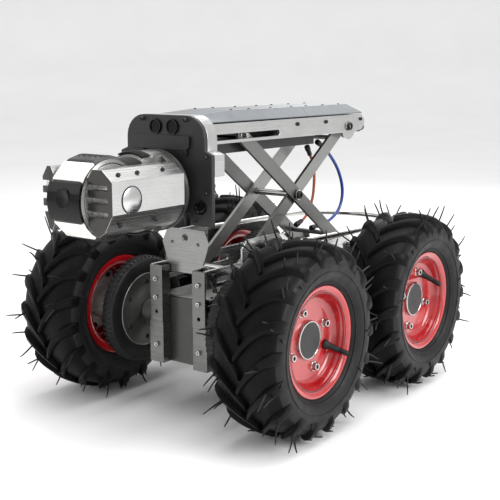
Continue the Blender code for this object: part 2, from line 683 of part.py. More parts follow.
def make_fork_arms():
    for side, (inner, outer) in ARM_X.items():
        sign = 1 if outer > 0 else -1
        if side == "left":
            section = arm_section(inner, outer)
        else:
            section = [(inner, -0.036), (-0.0520, -0.050), (-0.0580, -0.046), (outer, -0.0155),
                       (outer, 0.034), (-0.0590, 0.0505), (-0.0510, 0.0505), (inner, 0.038)]
        arm = flat_plate(f"fork_arm_{side}", [(x, HEAD_Z + z) for x, z in section],
                         ARM_REAR - ARM_FRONT, BRIGHT_ALLOY,
                         front_matrix((ARM_FRONT + ARM_REAR) / 2))
        cut_round(arm, (inner - 0.01 * sign, TILT_Y, HEAD_Z),
                  (inner + (TRUNNION_REACH + 0.003) * sign, TILT_Y, HEAD_Z),
                  TRUNNION_RADIUS + 0.0015, 20)


def make_drum():
    """Camera body between the arms, with its window and the lamps above and below it."""
    low, high = DRUM_X
    left, right = ARM_X["left"][0] + TRUNNION_REACH, ARM_X["right"][0] - TRUNNION_REACH
    profile = [(0, left), (TRUNNION_RADIUS, left), (TRUNNION_RADIUS, high), (0.055, high),
               (0.062, high - 0.003), (DRUM_RADIUS, high - 0.008), (DRUM_RADIUS, low + 0.008),
               (0.062, low + 0.003), (0.055, low), (TRUNNION_RADIUS, low),
               (TRUNNION_RADIUS, right), (0, right)]
    centre = Vector((0, TILT_Y, HEAD_Z))
    drum = turned("camera_drum", profile, centre, (1, 0, 0), DARK_GREY, 24, closed=False)
    panels = (("lens_window", 0, 0.0540, 0.0625, 0.0245, BLACK_GLASS),
              ("lamp_upper", -46, 0.0560, 0.0640, 0.0185, WHITE_LAMP),
              ("lamp_lower", 46, 0.0560, 0.0640, 0.0185, WHITE_LAMP))
    for name, angle, seat, face, half_height, material in panels:
        turn = Matrix.Translation(centre) @ Matrix.Rotation(math.radians(angle), 4, 'X')
        tool = block(f"{name}_recess", (low + 0.004, -0.090, -half_height),
                     (high - 0.004, -seat, half_height))
        tool.matrix_world = turn @ tool.matrix_basis
        boolean(drum, tool)
        inset = 0.0006
        panel = block(name, (low + 0.004 + inset, -face, inset - half_height),
                      (high - 0.004 - inset, -seat - GAP, half_height - inset), material,
                      bevel=0.0012)
        panel.matrix_world = turn @ panel.matrix_basis


for end_name, along_y in ENDS:
    for side_name, side_sign in SIDES:
        make_wheel(end_name, side_name, along_y, side_sign)
make_chassis_box()
make_rails()
make_front_posts()
make_hex_bracket()
make_rear_bracket()
make_side_brackets()
make_tail_hoop()
make_lift_motor()
make_scissor()
make_hoses()
make_front_plate()
make_bulkhead()
make_side_plates()
make_covers()
make_tray()
make_rear_glands()
make_head_base()
make_fork_arms()
make_drum()

for made in list(PARTS.objects) + list(CUTTERS.objects):
    made.location.y += WHEELBASE_SHIFT
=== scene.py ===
"""Four wheel inspection crawler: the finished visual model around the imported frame.

Metres, +Z up, front towards -Y, left side +X. Every Y in the making of the pieces is
counted from the middle of the wheelbase; ROW moves it into the row frame.
"""
import json
import math
import random

import bmesh
import bpy
from mathutils import Matrix, Vector

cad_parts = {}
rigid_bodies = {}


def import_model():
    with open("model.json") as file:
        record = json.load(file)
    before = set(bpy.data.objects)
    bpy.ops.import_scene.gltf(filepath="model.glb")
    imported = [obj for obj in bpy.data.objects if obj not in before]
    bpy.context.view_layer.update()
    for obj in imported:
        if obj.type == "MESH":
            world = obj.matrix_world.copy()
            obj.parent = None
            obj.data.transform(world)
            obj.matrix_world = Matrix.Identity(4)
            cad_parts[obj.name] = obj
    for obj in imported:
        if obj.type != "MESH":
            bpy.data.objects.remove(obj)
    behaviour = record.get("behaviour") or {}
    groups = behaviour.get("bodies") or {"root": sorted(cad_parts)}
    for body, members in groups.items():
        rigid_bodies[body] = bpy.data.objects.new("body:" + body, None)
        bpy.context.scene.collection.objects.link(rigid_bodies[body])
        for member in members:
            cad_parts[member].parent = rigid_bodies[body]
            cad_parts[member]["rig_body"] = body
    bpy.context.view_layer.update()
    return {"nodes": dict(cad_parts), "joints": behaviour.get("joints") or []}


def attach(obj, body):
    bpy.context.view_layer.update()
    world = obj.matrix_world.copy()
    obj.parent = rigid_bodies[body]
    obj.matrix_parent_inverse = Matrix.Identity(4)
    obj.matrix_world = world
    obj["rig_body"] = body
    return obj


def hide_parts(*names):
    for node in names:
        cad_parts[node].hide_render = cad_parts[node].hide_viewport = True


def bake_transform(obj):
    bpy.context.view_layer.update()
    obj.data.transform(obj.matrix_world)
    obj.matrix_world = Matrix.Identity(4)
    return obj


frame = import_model()

random.seed(11)
JOINTS = {joint["name"]: joint for joint in frame["joints"]}
AXLES = {end: JOINTS[f"wheel_{end}_left_spin"]["pos_m"] for end in ("front", "rear")}
MID_Y = (AXLES["front"][1] + AXLES["rear"][1]) / 2
ROW = Matrix.Translation((0, MID_Y, 0))
HALF_BASE = AXLES["rear"][1] - MID_Y
AXLE_Z = AXLES["front"][2]
WHEEL_X = AXLES["front"][0]
LOWER_Z = JOINTS["lift"]["pos_m"][2]
UPPER_Z = JOINTS["platform_level"]["pos_m"][2]
PIVOT_Y = JOINTS["lift"]["pos_m"][1] - MID_Y
CROSS_Y = JOINTS["scissor_cross"]["pos_m"][1] - MID_Y
CROSS_Z = JOINTS["scissor_cross"]["pos_m"][2]
TILT_Y = JOINTS["camera_tilt"]["pos_m"][1] - MID_Y
HEAD_Z = JOINTS["camera_tilt"]["pos_m"][2]
SIDES = (("left", 1), ("right", -1))
ENDS = (("front", -1), ("rear", 1))


# ---------------------------------------------------------------- camera
def aim(obj, place, target):
    obj.location = place
    obj.rotation_mode = 'QUATERNION'
    obj.rotation_quaternion = (Vector(target) - Vector(place)).to_track_quat('-Z', 'Y')


camera = bpy.data.objects.new("camera", bpy.data.cameras.new("camera"))
bpy.context.scene.collection.objects.link(camera)
camera.data.lens = 70.55
camera.data.sensor_width = 36
camera.data.clip_end = 60
aim(camera, ROW @ Vector((1.08775, -1.4622, 0.59707)), ROW @ Vector((-0.0056, -0.0042, 0.2591)))
bpy.context.scene.camera = camera


# ---------------------------------------------------------------- materials
class Look:
    """A Principled material whose colour, roughness and bump come from noise."""

    def __init__(self, name, metallic=0.0, **sockets):
        self.material = bpy.data.materials.new(name)
        self.material.use_nodes = True
        self.tree = self.material.node_tree
        self.shader = self.tree.nodes["Principled BSDF"]
        self.shader.inputs["Metallic"].default_value = metallic
        for socket, value in sockets.items():
            self.shader.inputs[socket.replace("_", " ")].default_value = value
        self.place = self.tree.nodes.new('ShaderNodeTexCoord').outputs["Object"]

    def link(self, output, socket):
        self.tree.links.new(output, socket)

    def noise(self, scale, stretch=(1, 1, 1), detail=4.0, rough=0.55):
        """Noise over the object's own metres, stretched along an axis for a brushed grain."""
        mapping = self.tree.nodes.new('ShaderNodeMapping')
        mapping.inputs["Scale"].default_value = stretch
        self.link(self.place, mapping.inputs["Vector"])
        noise = self.tree.nodes.new('ShaderNodeTexNoise')
        noise.inputs["Scale"].default_value = scale
        noise.inputs["Detail"].default_value = detail
        noise.inputs["Roughness"].default_value = rough
        self.link(mapping.outputs["Vector"], noise.inputs["Vector"])
        return noise.outputs["Fac"]

    def colours(self, factor, stops):
        ramp = self.tree.nodes.new('ShaderNodeValToRGB')
        elements = ramp.color_ramp.elements
        while len(elements) < len(stops):
            elements.new(0.5)
        for element, (position, colour) in zip(elements, stops):
            element.position = position
            element.color = (*colour, 1)
        self.link(factor, ramp.inputs["Fac"])
        return ramp.outputs["Color"]

    def mix(self, factor, first, second):
        blend = self.tree.nodes.new('ShaderNodeMix')
        blend.data_type = 'RGBA'
        self.link(factor, blend.inputs[0])
        self.link(first, blend.inputs[6])
        self.link(second, blend.inputs[7])
        return blend.outputs[2]

    def spread(self, factor, low, high, start=0.3, end=0.7):
        spread = self.tree.nodes.new('ShaderNodeMapRange')
        for socket, value in (("From Min", start), ("From Max", end), ("To Min", low),
                              ("To Max", high)):
            spread.inputs[socket].default_value = value
        self.link(factor, spread.inputs["Value"])
        return spread.outputs["Result"]

    def colour(self, output):
        self.link(output, self.shader.inputs["Base Color"])

    def roughness(self, factor, low, high):
        self.link(self.spread(factor, low, high), self.shader.inputs["Roughness"])

    def bump(self, heights):
        """Chain bumps: (factor, strength, depth in metres)."""
        normal = None
        for factor, strength, depth in heights:
            bump = self.tree.nodes.new('ShaderNodeBump')
            bump.inputs["Strength"].default_value = strength
            bump.inputs["Distance"].default_value = depth
            self.link(factor, bump.inputs["Height"])
            if normal is not None:
                self.link(normal, bump.inputs["Normal"])
            normal = bump.outputs["Normal"]
        self.link(normal, self.shader.inputs["Normal"])


def shade(colour, factor):
    return tuple(min(1.0, c * factor) for c in colour)


def metal_look(name, colour, rough, grain=None, speckle=0.0, wear=0.12, metallic=1.0):
    """Machined or blasted metal: cloudy tone, grain lines or speckle, and fine scratches."""
    look = Look(name, metallic)
    cloud = look.noise(14, detail=5)
    tone = look.colours(cloud, [(0.3, shade(colour, 1 - wear)), (0.52, colour),
                                (0.75, shade(colour, 1 + wear * 0.7))])
    fine = look.noise(1.0, grain, detail=3) if grain else look.noise(1500, detail=2)
    lines = look.colours(fine, [(0.35, shade(colour, 0.86)), (0.65, shade(colour, 1.08))])
    half = look.spread(look.noise(40, detail=3), 0.25, 0.55)
    look.colour(look.mix(half, tone, lines))
    look.roughness(look.noise(30, grain and tuple(g / 40 for g in grain) or (1, 1, 1), detail=6),
                   rough * 0.78, rough * 1.28)
    look.bump([(fine, 0.1 + speckle, 0.00008), (look.noise(220, detail=3), 0.05, 0.0002)])
    return look.material


def soft_look(name, colour, rough, pale=1.9, grain=0.25, scale=900, **sockets):
    """Rubber or plastic: dusty tone over a fine moulded grain."""
    look = Look(name, **sockets)
    dust = look.noise(26, detail=8, rough=0.7)
    look.colour(look.colours(dust, [(0.34, shade(colour, 0.75)), (0.52, colour),
                                    (0.7, shade(colour, pale))]))
    look.roughness(look.noise(60, detail=5), rough * 0.8, rough * 1.2)
    look.bump([(look.noise(scale, detail=3), grain, 0.00012),
               (look.noise(90, detail=4), 0.1, 0.0004)])
    return look.material


def enamel_look():
    """Thick gloss enamel with a slight orange peel, dust and hairline scratches."""
    look = Look("red_enamel", Coat_Weight=0.8, Coat_Roughness=0.05, Specular_IOR_Level=0.55)
    cloud = look.noise(18, detail=6)
    paint = look.colours(cloud, [(0.32, (0.3, 0.003, 0.006)), (0.55, (0.4, 0.005, 0.009)),
                                 (0.74, (0.46, 0.012, 0.014))])
    dust = look.colours(look.noise(160, detail=8, rough=0.75),
                        [(0.6, (0.38, 0.005, 0.009)), (0.78, (0.44, 0.045, 0.04))])
    look.colour(look.mix(look.spread(look.noise(9, detail=3), 0.05, 0.4), paint, dust))
    look.roughness(look.noise(70, detail=7, rough=0.7), 0.14, 0.3)
    look.bump([(look.noise(160, detail=2), 0.1, 0.0003), (look.noise(700, detail=2), 0.04, 0.0001)])
    return look.material


def glass_look():
    """Black window: nearly a mirror, with faint smears in its gloss."""
    look = Look("black_glass", Coat_Weight=0.12, Coat_Roughness=0.02, Specular_IOR_Level=0.15)
    look.colour(look.colours(look.noise(35, detail=6), [(0.3, (0.002, 0.002, 0.003)),
                                                        (0.7, (0.006, 0.006, 0.007))]))
    look.roughness(look.noise(24, (1, 1, 4), detail=7, rough=0.7), 0.02, 0.09)
    look.bump([(look.noise(60, detail=2), 0.02, 0.0002)])
    return look.material


def lamp_look():
    """Milky lamp cover, with the faint prism lines of a diffuser."""
    look = Look("lamp_diffuser", Coat_Weight=0.5, Coat_Roughness=0.08,
                Subsurface_Weight=0.25, Subsurface_Scale=0.004, Emission_Strength=0.35)
    look.shader.inputs["Emission Color"].default_value = (1.0, 0.985, 0.95, 1)
    look.colour(look.colours(look.noise(48, detail=5), [(0.32, (0.84, 0.83, 0.79)),
                                                        (0.62, (0.93, 0.93, 0.91))]))
    look.roughness(look.noise(80, detail=4), 0.22, 0.36)
    look.bump([(look.noise(1.0, (900, 30, 30), detail=1), 0.25, 0.0002)])
    return look.material


RUBBER = soft_look("tyre_rubber", (0.0032, 0.0032, 0.0035), 0.42, pale=1.9, grain=0.22,
                   Specular_IOR_Level=0.1)
# the sidewall rubber is a greyer copy of the tyre rubber: painted sheen of the light on the
# sidewalls
WALL_RUBBER_SHEEN = soft_look("sidewall_rubber_painted_sheen", (0.007, 0.007, 0.0075), 0.5, pale=1.7, grain=0.22,
                         Specular_IOR_Level=0.25)
BLACK_RUBBER = soft_look("black_rubber", (0.0045, 0.0045, 0.0048), 0.5, pale=2.0,
                          Specular_IOR_Level=0.35)
PLASTIC = soft_look("black_plastic", (0.014, 0.014, 0.015), 0.38, pale=1.6, scale=1400)
RED = enamel_look()
ALONG_Y, ALONG_X = (900, 16, 900), (16, 900, 900)
BRIGHT = metal_look("bright_alloy", (0.6, 0.6, 0.595), 0.24, ALONG_Y)
# a darker copy of the bright alloy for parts turned away from the key light: painted shade
BRIGHT_ACROSS_SHADED = metal_look("bright_alloy_across_painted_shade", (0.17, 0.17, 0.166), 0.28, ALONG_X)
FLANGE = metal_look("flange_alloy", (0.55, 0.55, 0.53), 0.35, speckle=0.05, metallic=0.25)
# a dark copy of the arm alloy for the front faces of the fork arms: painted shade
ARM_FRONT_SHADE = metal_look("arm_front_painted_shade", (0.085, 0.08, 0.075), 0.3, metallic=0.9)
PLATE = metal_look("bracket_alloy", (0.3, 0.3, 0.295), 0.28, ALONG_X)
LINK = metal_look("link_alloy", (0.34, 0.34, 0.33), 0.34, ALONG_Y)
LINK_DARK = metal_look("link_alloy_dark", (0.22, 0.22, 0.215), 0.36, ALONG_Y)
GREY = metal_look("grey_alloy", (0.24, 0.24, 0.232), 0.4, speckle=0.1)
GREY_DARK = metal_look("grey_alloy_dark", (0.1, 0.1, 0.096), 0.42, speckle=0.1)
COVER = metal_look("cover_alloy", (0.25, 0.265, 0.28), 0.34, speckle=0.12, wear=0.08)
STEEL = metal_look("polished_steel", (0.5, 0.495, 0.48), 0.12, wear=0.06)
DARK = metal_look("dark_anodised", (0.04, 0.04, 0.041), 0.4, speckle=0.15, metallic=0.55)
SCREW = metal_look("black_oxide", (0.035, 0.035, 0.036), 0.34, metallic=0.8)
GLASS = glass_look()
LAMP = lamp_look()
BLUE = soft_look("blue_hose", (0.004, 0.04, 0.27), 0.26, pale=1.25, grain=0.05,
                 Coat_Weight=0.5, Coat_Roughness=0.15)
ORANGE = soft_look("orange_cable", (0.44, 0.095, 0.025), 0.42, pale=1.2, grain=0.08)


# ---------------------------------------------------------------- mesh making
class Heap:
    """Vertices and faces gathered for one piece, each face with a material number."""

    def __init__(self):
        self.verts, self.faces, self.numbers = [], [], []

    def add(self, shape, matrix=None, number=0):
        verts, faces = shape
        start = len(self.verts)
        matrix = matrix or Matrix.Identity(4)
        self.verts += [matrix @ Vector(v) for v in verts]
        self.faces += [tuple(start + i for i in face) for face in faces]
        self.numbers += [number] * len(faces)
        return self

    def piece(self, name, materials, body, slot=None, stands_for=(), angle=38, matrix=ROW,
              ride=True):
        mesh = bpy.data.meshes.new(name)
        mesh.from_pydata([matrix @ v for v in self.verts], [], self.faces)
        for material in materials if isinstance(materials, (list, tuple)) else [materials]:
            mesh.materials.append(material)
        mesh.polygons.foreach_set("material_index", self.numbers)
        tidy_mesh(mesh)
        obj = bpy.data.objects.new(name, mesh)
        return finish_piece(obj, body, stands_for, angle, ride)


def tidy_mesh(mesh, merge=0.0):
    cage = bmesh.new()
    cage.from_mesh(mesh)
    if merge:
        bmesh.ops.remove_doubles(cage, verts=cage.verts, dist=merge)
        bmesh.ops.dissolve_limit(cage, angle_limit=math.radians(0.6), verts=cage.verts,
                                 edges=cage.edges)
    bmesh.ops.recalc_face_normals(cage, faces=cage.faces)
    cage.to_mesh(mesh)
    cage.free()


def finish_piece(obj, body, stands_for=(), angle=38, ride=True):
    bpy.context.scene.collection.objects.link(obj)
    obj.data.shade_smooth()
    obj.data.set_sharp_from_angle(angle=math.radians(angle))
    if ride:
        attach(obj, body)
    if stands_for:
        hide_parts(*stands_for)
    return obj


def lathe(profile, steps=48, closed=False, start=0.0):
    """A (radius, height) profile turned about Z."""
    verts, faces, rings = [], [], []
    for radius, height in profile:
        if radius < 1e-6:
            rings.append([len(verts)] * steps)
            verts.append((0, 0, height))
        else:
            rings.append(list(range(len(verts), len(verts) + steps)))
            verts += [(radius * math.cos(start + 2 * math.pi * i / steps),
                       radius * math.sin(start + 2 * math.pi * i / steps), height)
                      for i in range(steps)]
    pairs = list(zip(rings, rings[1:])) + ([(rings[-1], rings[0])] if closed else [])
    for first, second in pairs:
        for i in range(steps):
            j = (i + 1) % steps
            corners = []
            for index in (first[i], first[j], second[j], second[i]):
                if index not in corners:
                    corners.append(index)
            if len(corners) > 2:
                faces.append(tuple(corners))
    return verts, faces


def prism(outline, low, high, chamfer=0.0):
    """A closed outline between two heights, its end edges chamfered inward."""
    count = len(outline)
    area = sum(outline[i][0] * outline[(i + 1) % count][1]
               - outline[(i + 1) % count][0] * outline[i][1] for i in range(count))
    turn = 1 if area > 0 else -1
    inner = []
    for i in range(count):
        here = Vector(outline[i])
        before = (here - Vector(outline[i - 1])).normalized()
        after = (Vector(outline[(i + 1) % count]) - here).normalized()
        normal = Vector((-(before.y + after.y), before.x + after.x)) * turn
        length = normal.length_squared
        inner.append(here + normal * (2 * chamfer / length) if length > 1e-9 else here)
    rings = [(outline, low + chamfer), (outline, high - chamfer)]
    if chamfer:
        rings = [(inner, low)] + rings + [(inner, high)]
    verts = [(p[0], p[1], z) for ring, z in rings for p in ring]
    faces = [tuple(range(count)), tuple(range(len(verts) - count, len(verts)))]
    for k in range(len(rings) - 1):
        for i in range(count):
            j = (i + 1) % count
            faces.append((k * count + i, k * count + j, (k + 1) * count + j, (k + 1) * count + i))
    return verts, faces


def pad(low, high, edge=0.001, segments=2):
    """A box between two corners, its edges rounded."""
    cage = bmesh.new()
    bmesh.ops.create_cube(cage, size=1.0)
    size = [abs(b - a) for a, b in zip(low, high)]
    bmesh.ops.scale(cage, vec=size, verts=cage.verts)
    bmesh.ops.translate(cage, vec=[(a + b) / 2 for a, b in zip(low, high)], verts=cage.verts)
    bmesh.ops.bevel(cage, geom=list(cage.edges), offset=edge, segments=segments, profile=0.5,
                    affect='EDGES')
    cage.verts.index_update()
    shape = [tuple(v.co) for v in cage.verts], [tuple(v.index for v in f.verts) for f in cage.faces]
    cage.free()
    return shape


def pipe(points, radius, sides=10, radii=None):
    """A round tube through points, with domed ends."""
    points = [Vector(p) for p in points]
    tangents = [(points[min(i + 1, len(points) - 1)] - points[max(i - 1, 0)]).normalized()
                for i in range(len(points))]
    across = tangents[0].orthogonal().normalized()
    verts, faces = [], []
    for i, (point, tangent) in enumerate(zip(points, tangents)):
        across = (across - tangent * across.dot(tangent)).normalized()
        side = tangent.cross(across)
        r = radii[i] if radii else radius
        verts += [tuple(point + (across * math.cos(a) + side * math.sin(a)) * r)
                  for a in (2 * math.pi * k / sides for k in range(sides))]
    for i in range(len(points) - 1):
        for k in range(sides):
            j = (k + 1) % sides
            faces.append((i * sides + k, i * sides + j, (i + 1) * sides + j, (i + 1) * sides + k))
    faces += [tuple(range(sides)), tuple(range(len(verts) - sides, len(verts)))]
    return verts, faces


def smooth_route(knots, pieces):
    """Points on a Catmull-Rom curve through the knots."""
    ends = [2 * Vector(knots[0]) - Vector(knots[1])] + [Vector(k) for k in knots]
    ends.append(2 * Vector(knots[-1]) - Vector(knots[-2]))
    route = []
    for a, b, c, d in zip(ends, ends[1:], ends[2:], ends[3:]):
        for i in range(pieces):
            t = i / pieces
            route.append(0.5 * (2 * b + (c - a) * t + (2 * a - 5 * b + 4 * c - d) * t ** 2
                                + (3 * b - a - 3 * c + d) * t ** 3))
    return route + [Vector(knots[-1])]


def arc(centre, radius, first, last, count):
    angles = [math.radians(first + (last - first) * i / (count - 1)) for i in range(count)]
    return [(centre[0] + radius * math.cos(a), centre[1] + radius * math.sin(a)) for a in angles]


def facing(place, axis, spin=0.0):
    """Stands a shape made along +Z at a place, pointing along an axis."""
    turn = Vector((0, 0, 1)).rotation_difference(Vector(axis)).to_matrix().to_4x4()
    return Matrix.Translation(place) @ turn @ Matrix.Rotation(spin, 4, 'Z')


def socket_screw(radius, height):
    """Cap screw: a head with a rounded edge and a hollow socket."""
    hole = radius * 0.52
    return lathe([(0, height * 0.35), (hole, height * 0.35), (hole, height * 0.97),
                  (hole * 1.12, height), (radius * 0.84, height), (radius * 0.97, height * 0.86),
                  (radius, height * 0.7), (radius, -0.001), (0, -0.001)], 18)


def button_screw(radius, height):
    """Low domed screw with a small socket."""
    hole = radius * 0.42
    return lathe([(0, height * 0.45), (hole, height * 0.45), (hole, height),
                  (radius * 0.7, height * 0.9), (radius * 0.93, height * 0.5),
                  (radius, 0.0002), (radius, -0.001), (0, -0.001)], 16)


def washer(radius, hole, thick):
    return lathe([(hole, 0), (hole, thick), (radius - thick * 0.3, thick), (radius, thick * 0.7),
                  (radius, 0)], 28, closed=True)


def softened(node, material, width=0.0007, segments=2, body=None):
    """A CAD node's own shape with its edges broken, as a new piece that stands for it."""
    source = frame["nodes"][node]
    mesh = source.data.copy()
    mesh.name = f"{node}_edged"
    mesh.materials.clear()
    mesh.materials.append(material)
    tidy_mesh(mesh, merge=0.00002)
    obj = bpy.data.objects.new(f"{node}_edged", mesh)
    obj = finish_piece(obj, body or source["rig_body"], (node,), 30)
    bevel = obj.modifiers.new("edges", 'BEVEL')
    bevel.width = width
    bevel.segments = segments
    bevel.limit_method = 'ANGLE'
    bevel.angle_limit = math.radians(28)
    bevel.harden_normals = True
    return obj


def cut(obj, shapes):
    """Cuts closed shapes, given in the row frame, out of a piece before its edges are broken."""
    heap = Heap()
    for shape, matrix in shapes:
        heap.add(shape, matrix)
    mesh = bpy.data.meshes.new(obj.name + "_cutter")
    mesh.from_pydata([ROW @ v for v in heap.verts], [], heap.faces)
    tidy_mesh(mesh)
    tool = bpy.data.objects.new(obj.name + "_cutter", mesh)
    bpy.context.scene.collection.objects.link(tool)
    change = obj.modifiers.new("cut", 'BOOLEAN')
    change.solver = 'EXACT'
    change.object = tool
    bpy.context.view_layer.update()
    while obj.modifiers[0] != change:
        obj.modifiers.move(len(obj.modifiers) - 1, 0)
    for modifier in obj.modifiers:
        modifier.show_viewport = modifier == change
    bpy.context.view_layer.update()
    depsgraph = bpy.context.evaluated_depsgraph_get()
    cut_mesh = bpy.data.meshes.new_from_object(obj.evaluated_get(depsgraph))
    obj.modifiers.remove(change)
    for modifier in obj.modifiers:
        modifier.show_viewport = True
    obj.data = cut_mesh
    bpy.data.objects.remove(tool, do_unlink=True)
    tidy_mesh(cut_mesh, merge=0.00001)
    cut_mesh.shade_smooth()
    cut_mesh.set_sharp_from_angle(angle=math.radians(30))
    return obj


# ---------------------------------------------------------------- wheels
LUGS = 18
# outside of the carcass: radius, width from the middle, and which way its surface faces
CARCASS = [(0.08, 0.0462, 20), (0.0925, 0.0472, 30), (0.0945, 0.051, 70), (0.0985, 0.0545, 62),
           (0.104, 0.0588, 60), (0.11, 0.0617, 72), (0.118, 0.0632, 84), (0.126, 0.0634, 95),
           (0.133, 0.0622, 66), (0.1395, 0.0592, 58), (0.145, 0.0545, 44), (0.149, 0.048, 30),
           (0.1518, 0.038, 14), (0.1535, 0.026, 6), (0.1543, 0.013, 3), (0.1546, 0.0, 0)]
# lug stations: width, carcass radius, direction its top faces in degrees, height, half breadth
LUG_STATIONS = [(-0.004, 0.154, 0, 0.0096, 0.005), (0.006, 0.154, 0, 0.01, 0.006),
                (0.017, 0.1536, 2, 0.01, 0.0066), (0.028, 0.1528, 5, 0.01, 0.0074),
                (0.0375, 0.1514, 12, 0.01, 0.0082), (0.0455, 0.1492, 26, 0.0098, 0.0088),
                (0.052, 0.1456, 42, 0.0088, 0.0092), (0.0568, 0.1412, 58, 0.007, 0.0094),
                (0.06, 0.136, 72, 0.0046, 0.0093), (0.0616, 0.13, 86, 0.0024, 0.009),
                (0.062, 0.124, 90, 0.0012, 0.0084)]
# across a lug, from its trailing flank to its leading one: share of breadth, share of height
LUG_ACROSS = [(-1.3, -0.25), (-1.04, 0.78), (-0.86, 1.0), (0.1, 0.98), (0.66, 0.8),
              (0.98, 0.52), (1.45, -0.25)]
LUG_SWEEP = 23.0


def lug_angle(width, first):
    share = max(0.0, min(1.0, (width + 0.004) / 0.066))
    return math.radians(first - LUG_SWEEP * (1 - (1 - share) ** 1.6))


def lug(first, side):
    """One tread bar, from past the middle of the tread round the shoulder."""
    verts, faces = [], []
    across = len(LUG_ACROSS)
    for width, radius, tilt, height, half in LUG_STATIONS:
        turn = math.radians(tilt)
        middle = lug_angle(width, first)
        for share, lift in LUG_ACROSS:
            up = height * lift if lift > 0 else -0.0022
            angle = middle + share * half / radius
            r = radius + math.cos(turn) * up
            verts.append((r * math.cos(angle), r * math.sin(angle),
                          side * (width + math.sin(turn) * up)))
    for i in range(len(LUG_STATIONS) - 1):
        for k in range(across):
            j = (k + 1) % across
            faces.append((i * across + k, i * across + j, (i + 1) * across + j,
                          (i + 1) * across + k))
    last = (len(LUG_STATIONS) - 1) * across
    faces += [tuple(range(across)), tuple(range(last, last + across))]
    return verts, faces


def whisker(base, direction, length, sag):
    """A moulding whisker: a thin tapering thread that bends over a little."""
    points = [base + direction * (length * t) + sag * (t * t * length) for t in
              (-0.05, 0.25, 0.5, 0.75, 1.0)]
    return pipe(points, 0.0009, 6, [0.0016, 0.0015, 0.0014, 0.00125, 0.0009])


def make_tyre(name, body, matrix, node):
    wall = [(r, w) for r, w, _ in CARCASS]
    section = wall + [(r, -w) for r, w in reversed(wall[:-1])]
    section += [(0.08, -0.034), (0.11, -0.047), (0.144, -0.044), (0.146, 0.0),
                (0.144, 0.044), (0.11, 0.047), (0.08, 0.034)]
    verts, faces = lathe(section, 108, closed=True)
    heap = Heap().add((verts, faces))
    # the plain sidewall band gets a greyer rubber than the tread: painted sheen of the light on the
    # sidewalls
    for number, face in enumerate(faces):
        centre = sum((Vector(verts[i]) for i in face), Vector()) / len(face)
        reach = math.hypot(centre.x, centre.y)
        if abs(centre.z) > 0.045 and reach < 0.137:
            heap.numbers[number] = 1
    # the sidewall rings take the same painted sheen
    for ring, width in ((0.1165, 0.0629), (0.099, 0.0552)):
        for side in (1, -1):
            heap.add(lathe([(ring + out, side * (width + up)) for out, up in
                            ((-0.0011, -0.0012), (-0.0006, 0.001), (0.0006, 0.001),
                             (0.0011, -0.0012))], 108, closed=True), number=1)
    pitch = 360 / LUGS
    for i in range(LUGS):
        heap.add(lug(i * pitch, 1))
        heap.add(lug((i + 0.5) * pitch, -1))
    heap.piece(name, [RUBBER, WALL_RUBBER_SHEEN], body, "tyre_rubber", (node,), 32, ROW @ matrix)


def make_whiskers(name, body, matrix):
    """Pairs of whiskers on the lug shoulders, and a few on the sidewalls."""
    heap = Heap()
    pitch = 360 / LUGS
    for side, offset in ((1, 0.0), (-1, 0.5)):
        for i in range(LUGS):
            for share in (-0.75, 0.55):
                if random.random() < 0.1:
                    continue
                width, radius, tilt, height, half = random.choice(LUG_STATIONS[4:7])
                middle = lug_angle(width, (i + offset) * pitch) + share * half / radius
                turn = math.radians(tilt * 0.55 + random.uniform(-16, 12))
                r = radius + math.cos(math.radians(tilt)) * height * 0.9
                base = Vector((r * math.cos(middle), r * math.sin(middle),
                               side * (width + math.sin(math.radians(tilt)) * height * 0.9)))
                lean = middle + math.radians(random.uniform(-24, 24))
                direction = Vector((math.cos(lean) * math.cos(turn),
                                    math.sin(lean) * math.cos(turn),
                                    side * math.sin(turn)))
                length = random.uniform(0.02, 0.034)
                sag = 0.22 * Vector((random.uniform(-1, 1), random.uniform(-1, 1),
                                     random.uniform(-0.4, 0.4)))
                tip = matrix @ (base + direction * length + sag * length)
                if tip.z < 0.003:
                    direction = Vector((math.cos(middle + side * 0.9),
                                        math.sin(middle + side * 0.9) * 0.15,
                                        side * 0.55)).normalized()
                    length, sag = 0.013, Vector()
                    tip = matrix @ (base + direction * length)
                    if tip.z < 0.002:
                        continue
                heap.add(whisker(base, direction, length, sag))
    for side in (1, -1):
        for i in range(9):
            angle = math.radians(i * 40 + random.uniform(-12, 12))
            base = Vector((0.1285 * math.cos(angle), 0.1285 * math.sin(angle), side * 0.0632))
            lean = angle + math.radians(random.choice((180, 20, -30)) + random.uniform(-20, 20))
            direction = Vector((math.cos(lean) * 0.92, math.sin(lean) * 0.92, side * 0.38))
            heap.add(whisker(base, direction, random.uniform(0.01, 0.017),
                             Vector((0, 0, -side * 0.25))))
    heap.piece(name, BLACK_RUBBER, body, "tyre_rubber", (), 60, ROW @ matrix)


